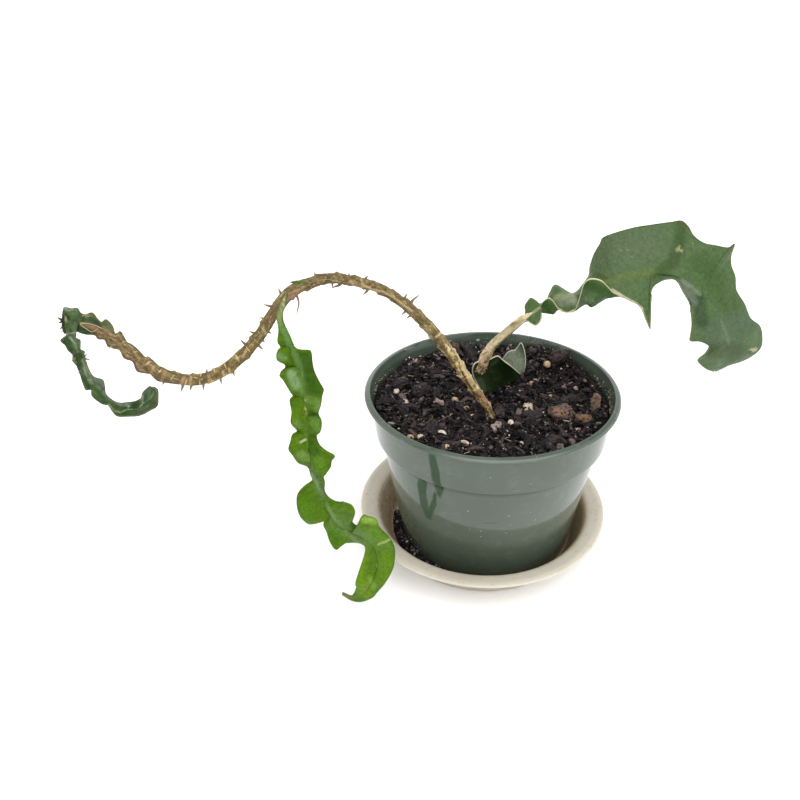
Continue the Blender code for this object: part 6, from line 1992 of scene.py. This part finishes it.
def bark_finish(name):
    """Damp fibrous bark: each piece's own tone with darker pores and paler fibres."""
    f = Finish(name, Specular_IOR_Level=0.14)
    grain = f.kept("grain", "Vector")
    body = f.kept("paint", "Color")
    fibre = f.noise(0.7, detail=5, where=f.stretched(grain, (0.2, 1.0, 1.0)))
    cloud = f.noise(1.5, detail=5, roughness=0.65)
    body = f.mix(f.between(cloud, 0.36, 0.54, 0.75, 0), body, srgb(*BARK_PORE))
    body = f.mix(f.between(fibre, 0.55, 0.72, 0, 0.45), body, srgb(*BARK_FIBRE))
    body = f.mix(f.between(f.noise(6, detail=3), 0.56, 0.7, 0, 0.25), body, srgb(*BARK_RUST))
    f.connect(Base_Color=body, Normal=f.bump(f.math("ADD", fibre, cloud), 0.5),
              Roughness=f.between(cloud, 0.3, 0.7, 0.3, 0.7))
    return f.material


def grit_finish(name):
    """Pale mineral grit with soil in its pits."""
    f = Finish(name, Specular_IOR_Level=0.3)
    cloud = f.noise(1.2, detail=5, roughness=0.6)
    soiled = f.between(cloud, 0.4, 0.62, 0.55, 0)
    body = f.mix(soiled, f.kept("paint", "Color"), srgb(*SOIL_IN_GRIT))
    f.connect(Base_Color=body, Normal=f.bump(cloud, 0.2),
              Roughness=f.between(cloud, 0.3, 0.7, 0.55, 0.8))
    return f.material


def floor_finish(name):
    f = Finish(name, Specular_IOR_Level=0.1, Roughness=0.9)
    grey, white = [srgb(*tone) for tone in FLOOR_TONES]
    f.connect(Base_Color=f.ramp(f.noise(300), (0.3, grey), (0.7, white)))
    return f.material


# The plant


def lip_net(along, angle, across, onward, seed):
    """1 on a net of lines round cells of these sizes on a stem, and 0 inside the cells."""
    where = np.stack(np.broadcast_arrays(2.8 / across * np.cos(angle), 2.8 / across * np.sin(angle),
                                         along / onward + seed), -1)
    found = [noise.voronoi(Vector(place))[0] for place in where.reshape(-1, 3)]
    gap = np.array([apart[1] - apart[0] for apart in found]).reshape(where.shape[:-1])
    return np.exp(-(gap / LIP_WIDTH) ** 2)


def cane_radius(along, angle, radius):
    """The cane's radii and its net. Scales on its three ridges end in a step at each knot, and
    are highest near the soil.
    """
    low = 1 - smooth_step(along, *LOW_PART)
    far = smooth_step(along, *FAR_PART)
    strength = KNOT_RISE * (1 + 0.15 * low)
    scales = lips = crests = 0.0
    for ridge in range(RIDGES):
        middle = ridge / RIDGES * math.tau + along * RIDGE_TURN
        wander = noise_at(np.stack([along, 0 * along, 0 * along], -1), 14, ridge)
        apart = np.remainder(angle - middle + math.pi, math.tau) - math.pi
        near = np.exp(-(apart / RIDGE_WIDTH) ** 2)
        phase = (along / KNOT_SPACING + ridge / RIDGES + 0.2 * wander) % 1.0
        rise = np.where(phase < KNOT_STEP, phase / KNOT_STEP, (1 - phase) / (1 - KNOT_STEP))
        scales = scales + strength * near * rise ** 2.2
        bent = phase - KNOT_STEP + LIP_BEND * apart ** 2
        lip = np.exp(-(bent / KNOT_LIP) ** 2) * (0.45 + 0.3 * low)
        bent = (along / SCAR_SPACING + ridge / RIDGES + 0.4 * wander) % 1.0 - 0.5 + LIP_BEND * apart
        lip = np.maximum(lip, 0.75 * far * np.exp(-(bent / SCAR_LIP) ** 2))
        lips = np.maximum(lips, lip * np.exp(-(apart / 1.1) ** 2))
        crests = np.maximum(crests, np.exp(-((apart + 0.45 * wander) / 0.11) ** 2))
    fine = lip_net(along, angle, 2.6, 2.9, 0) * (0.12 + 0.88 * low)
    coarse = 0.5 * lip_net(along, angle, 2.2, 8.0, 40) * (1 - 0.5 * low)
    where = np.stack(np.broadcast_arrays(3 * np.cos(angle), 3 * np.sin(angle), along * 0.45), -1)
    rough = 0.25 * np.abs(noise_at(where, 1.9, 3)) + 0.13 * noise_at(where, 0.8, 7)
    worn = smooth_step(noise_at(where, 3.0, 15), -0.4, 0.15)
    net = np.maximum(np.maximum(fine, coarse), 0.65 * crests * (1 - 0.6 * low)) * worn
    net = np.maximum(net, lips * smooth_step(noise_at(where, 4.0, 19), -0.75, -0.2))
    rise = scales + rough + NET_RISE * net - 0.3
    return radius + rise * np.minimum(1, radius / 2), net


def make_cane(finish):
    shape = Shape()
    tones = [(at, np.array(srgb(*tone))) for at, tone in CANE_TONES]
    path, along = evenly_spaced(CANE, STEM_STEP)
    shades = np.stack([np.interp(along, [at for at, _ in tones], [tone[k] for _, tone in tones])
                       for k in range(4)], -1)
    stem(shape, CANE, radius_at=cane_radius, paint=shades.repeat(STEM_SIDES, 0),
         strokes=CANE_STROKES)
    for distance, x, y, z in ROOTLETS:
        root = at_length(path[:, :3], along, distance)
        long = math.sqrt(x * x + y * y + z * z) > LONG_ROOTLET
        spine(shape, root, root + (x, y, z), 0.42 if long else 0.72,
              paint=srgb(*(LONG_ROOT_TONE if long else ROOTLET_TONE)))
    put_in_place(shape.make("cane_stem", finish), "woody_stem", "cane")


def make_cane_wings(woody, finish):
    shape = Shape()
    wings = Leaf(WING_MIDRIB, WING_UPPER, WING_LOWER, rib=4.0, edge=1.1, columns=8, wave=0.3)
    flat = np.stack([wings.offset, 0 * wings.offset,
                     np.broadcast_to(wings.along[:, None], wings.offset.shape)], -1)
    lips = noise_at(flat * (1, 0, 0.6), 2.2, 60)
    tone = np.array(srgb(*WING_TONE))
    edge = smooth_step(-wings.rim, -1.3, -0.4)[..., None]
    tone = tone * (1 - edge) + np.array(srgb(*WING_EDGE_TONE)) * edge
    wings.add_to(shape, paint=tone, over=leaf_paint(wings, CANE_STROKES), grain=flat,
                 relief=0.4 * np.abs(noise_at(flat, 3.0, 50)),
                 net=0.35 * np.exp(-(lips / 0.14) ** 2))
    put_in_place(shape.make("cane_wings", woody), "woody_stem", "cane")
    shape = Shape()
    for rows in DRY_EDGES:
        stem(shape, rows, step=0.4, sides=10, paint=skin(*DRY_EDGE_TONE), **PLAIN)
    stem(shape, DRY_MIDDLE, step=0.4, sides=12, paint=skin(*DRY_MIDDLE_TONE), **PLAIN)
    put_in_place(shape.make("dry_bract", finish), "woody_stem", "cane")


def margin_strength(leaf, stretches):
    """How strongly each point's margin shows: a stretch is a side, 1 for left and -1 for right,
    from and to in mm along the midrib, and a strength.
    """
    strength = np.zeros(leaf.rim.shape)
    along = leaf.along[:, None]
    for side, start, end, value in stretches:
        inside = (smooth_step(along, start - MARGIN_FADE, start + MARGIN_FADE)
                  * smooth_step(-along, -end - MARGIN_FADE, -end + MARGIN_FADE))
        raised = np.maximum(strength, inside * value)
        strength = np.where(np.sign(leaf.offset) == side, raised, strength)
    return strength


def leaf_paint(leaf, strokes):
    return painted(leaf.middle, NO_PAINT, strokes)


def nearest_of(points, place):
    """The one of these points that is nearest to a place."""
    return points[((points - place) ** 2).sum(1).argmin()]


def make_cane_tip(finish):
    shape = Shape()
    green = []
    for midrib, left, right, rib, strokes, stretches in (
        (END_MIDRIB, END_UPPER, END_LOWER, 2.6, END_STROKES, END_MARGINS),
        (TIP_MIDRIB, TIP_LEFT, TIP_RIGHT, 2.2, TIP_STROKES, TIP_MARGINS),
    ):
        leaf = Leaf(midrib, left, right, rib=rib, edge=1.0, columns=16, wave=0.5, wave_size=6,
                    bead=0.15, puff=0.6, step=0.5)
        leaf.add_to(shape, margin=margin_strength(leaf, stretches), paint=leaf_paint(leaf, strokes))
        green.append(leaf.middle.reshape(-1, 3))
    for x, y, z in END_ROOTLETS:
        root = nearest_of(green[0], (END_EDGE, y + 1.5, (z + END_HEIGHT) / 2))
        spine(shape, root, (x, y, z), 0.55, paint=skin(*END_ROOTLET_TONE), **PLAIN)
    for root, tip in TIP_BRISTLES:
        spine(shape, nearest_of(green[1], root), tip, 0.3, paint=skin(*BRISTLE_TONE), **PLAIN)
    put_in_place(shape.make("cane_tip_leaves", finish), "dark_leaf", "cane_tip")


def make_hanging_branch(finish):
    shape = Shape()
    leaf = Leaf(HANGING_MIDRIB, HANGING_LEFT, HANGING_RIGHT, rib=3.0, edge=1.0, columns=16,
                bead=0.5, wave=0.5, puff=1.8, step=0.66)
    leaf.add_to(shape, margin=margin_strength(leaf, HANGING_MARGINS),
                paint=leaf_paint(leaf, HANGING_SHEEN_SHADE_AND_MARKS))
    stem(shape, ARCH_SLIVER, step=0.5, sides=12, paint=skin(*SLIVER_TONE), **PLAIN)
    put_in_place(shape.make("hanging_leaf", finish), "bright_leaf", "hanging_branch")


def make_base_cladode(finish):
    shape = Shape()
    leaf = Leaf(BASE_FOLD, BASE_FRONT, BASE_REAR, rib=1.8, edge=1.0, closest=1.1, columns=24,
                bead=0.0, wave=0.3, step=0.42)
    # The front flap takes its painted light and shade, the rear flap its painted light
    front = leaf.offset[..., None] >= 0
    paint = np.where(front, leaf_paint(leaf, BASE_FRONT_LIGHT_AND_SHADE), leaf_paint(leaf, BASE_REAR_LIGHT))
    leaf.add_to(shape, margin=margin_strength(leaf, BASE_MARGINS), paint=paint)
    stem(shape, BASE_STUB, sides=20, paint=srgb(*BASE_STUB_TONE), **PLAIN)
    put_in_place(shape.make("base_leaf", finish), "dark_leaf", "base_cladode")


def stalk_radius(along, angle, radius):
    """The stalk's radii and its net: ridged lengthwise, swollen and flaky at its foot."""
    where = np.stack(np.broadcast_arrays(2.5 * np.cos(angle), 2.5 * np.sin(angle),
                                         along * 0.25), -1)
    node = np.exp(-((along - STALK_NODE) / STALK_NODE_LENGTH) ** 2)
    bumps = 0.5 * np.abs(noise_at(where, 1.7, 21)) + 0.25 * noise_at(where, 0.8, 24)
    net = lip_net(along, angle, 1.7, 9.0, 80) * smooth_step(noise_at(where, 3.5, 31), -0.4, 0.2)
    return radius * STALK_SWELL + (bumps - 0.08) * (0.6 + 2.0 * node) + 0.2 * node + 0.15 * net, net


def make_right_stem(finish):
    shape = Shape()
    stem(shape, STALK, sides=40, step=0.4, radius_at=stalk_radius, paint=srgb(*STALK_TONE),
         strokes=STALK_STROKES)
    rng = np.random.default_rng(CHIP_SEED + 3)
    low, high = np.array(STALK[0][:3]), np.array(STALK[2][:3]) * (1, 1, 0.98)
    centres = low + (high - low) * rng.uniform(0, 1, (STALK_FLAKES, 1))
    turn = rng.uniform(0, math.tau, STALK_FLAKES)
    centres += FLAKES_OUT * np.stack([np.cos(turn), np.sin(turn), 0 * turn], -1)
    tones = np.array([srgb(*FLAKE_TONES[k % len(FLAKE_TONES)]) for k in range(STALK_FLAKES)])
    sizes = rng.uniform(*FLAKE_SIZES, STALK_FLAKES)
    crumbs(shape, rng, centres, sizes, tones, flatness=(0.3, 0.6))
    put_in_place(shape.make("stalk", finish), "woody_stem", "right_stem")


def make_right_cladode(finish):
    shape = Shape()
    leaf = Leaf(RIGHT_MIDRIB, RIGHT_UPPER, RIGHT_LOWER, rib=2.6, edge=1.1, columns=32, wave=0.7,
                wave_size=14, bead=0.25, puff=0.8, step=0.8)
    paint = leaf_paint(leaf, RIGHT_MARKS_SHEEN_AND_SHADE)
    # The painted shade and sheen of the fold go on the lower half only
    fold = leaf.offset < 0
    paint = np.where(fold[..., None], painted(leaf.middle, paint, RIGHT_FOLD_SHEEN_SHADE_AND_MARGIN), paint)
    leaf.add_to(shape, margin=margin_strength(leaf, RIGHT_MARGINS), paint=paint)
    put_in_place(shape.make("right_leaf", finish), "dark_leaf", "right_cladode")


# Stage


def make_camera():
    across, upward, back = [Vector(axis) for axis in camera_axes()]
    data = bpy.data.cameras.new("camera")
    data.sensor_width = SENSOR
    data.lens = SENSOR * FOCAL
    data.clip_start, data.clip_end = 0.01, 100
    camera = bpy.data.objects.new("camera", data)
    turn = Matrix((across, upward, back)).transposed().to_4x4()
    place = (Vector(CAMERA_TARGET) + back * CAMERA_DISTANCE) * MM
    camera.matrix_world = Matrix.Translation(place) @ turn
    bpy.context.scene.collection.objects.link(camera)
    bpy.context.scene.camera = camera


def make_sky():
    """An even white sky with soft boxes in it, far away, so that the floor is lit evenly."""
    world = bpy.data.worlds.new("studio")
    bpy.context.scene.world = world
    world.use_nodes = True
    tree = world.node_tree
    background = tree.nodes["Background"]
    place = tree.nodes.new("ShaderNodeTexCoord").outputs["Generated"]
    total = None
    for direction, inner, outer, brightness in SOFT_BOXES:
        facing = tree.nodes.new("ShaderNodeVectorMath")
        facing.operation = "DOT_PRODUCT"
        facing.inputs[1].default_value = Vector(direction).normalized()
        tree.links.new(place, facing.inputs[0])
        glow = tree.nodes.new("ShaderNodeMapRange")
        glow.interpolation_type = "SMOOTHSTEP"
        for socket, value in (("From Min", math.cos(math.radians(outer))),
                              ("From Max", math.cos(math.radians(inner))),
                              ("To Min", 0.0 if total else SKY_BASE),
                              ("To Max", brightness + (0.0 if total else SKY_BASE))):
            glow.inputs[socket].default_value = value
        tree.links.new(facing.outputs["Value"], glow.inputs["Value"])
        if total is None:
            total = glow.outputs["Result"]
            continue
        added = tree.nodes.new("ShaderNodeMath")
        tree.links.new(total, added.inputs[0])
        tree.links.new(glow.outputs["Result"], added.inputs[1])
        total = added.outputs[0]
    tree.links.new(total, background.inputs["Strength"])
    background.inputs["Color"].default_value = (1, 1, 1, 1)


def make_stage():
    shape = Shape()
    half = FLOOR_SIZE / 2 / MM
    corners = [(-half, -half, 0), (half, -half, 0), (half, half, 0), (-half, half, 0)]
    shape.add(corners, [[(0, 1, 2, 3)]], outward=False)
    floor = shape.make("floor", floor_finish("floor_white"))
    floor.location.z = -FLOOR_DROP * MM
    make_sky()
    bpy.context.scene.view_settings.view_transform = "Standard"


def main():
    make_camera()
    make_stage()
    make_pot(pot_finish("pot_plastic"))
    make_saucer(saucer_finish("saucer_plastic"))
    bark = bark_finish("bark")
    make_soil(bark)
    make_litter(bark, grit_finish("grit"))
    make_spilled_soil(bark)
    woody = woody_finish("bark_of_stem")
    make_cane(woody)
    make_right_stem(woody)
    make_cane_wings(woody, leaf_finish("dry_leaf", **DRY_TONES))
    make_cane_tip(leaf_finish("tip_leaf", **TIP_GREENS))
    make_hanging_branch(leaf_finish("bright_green_leaf", **BRIGHT_GREENS))
    make_base_cladode(leaf_finish("base_leaf_green", **BASE_GREENS))
    make_right_cladode(leaf_finish("dark_green_leaf", **DARK_GREENS))


main()
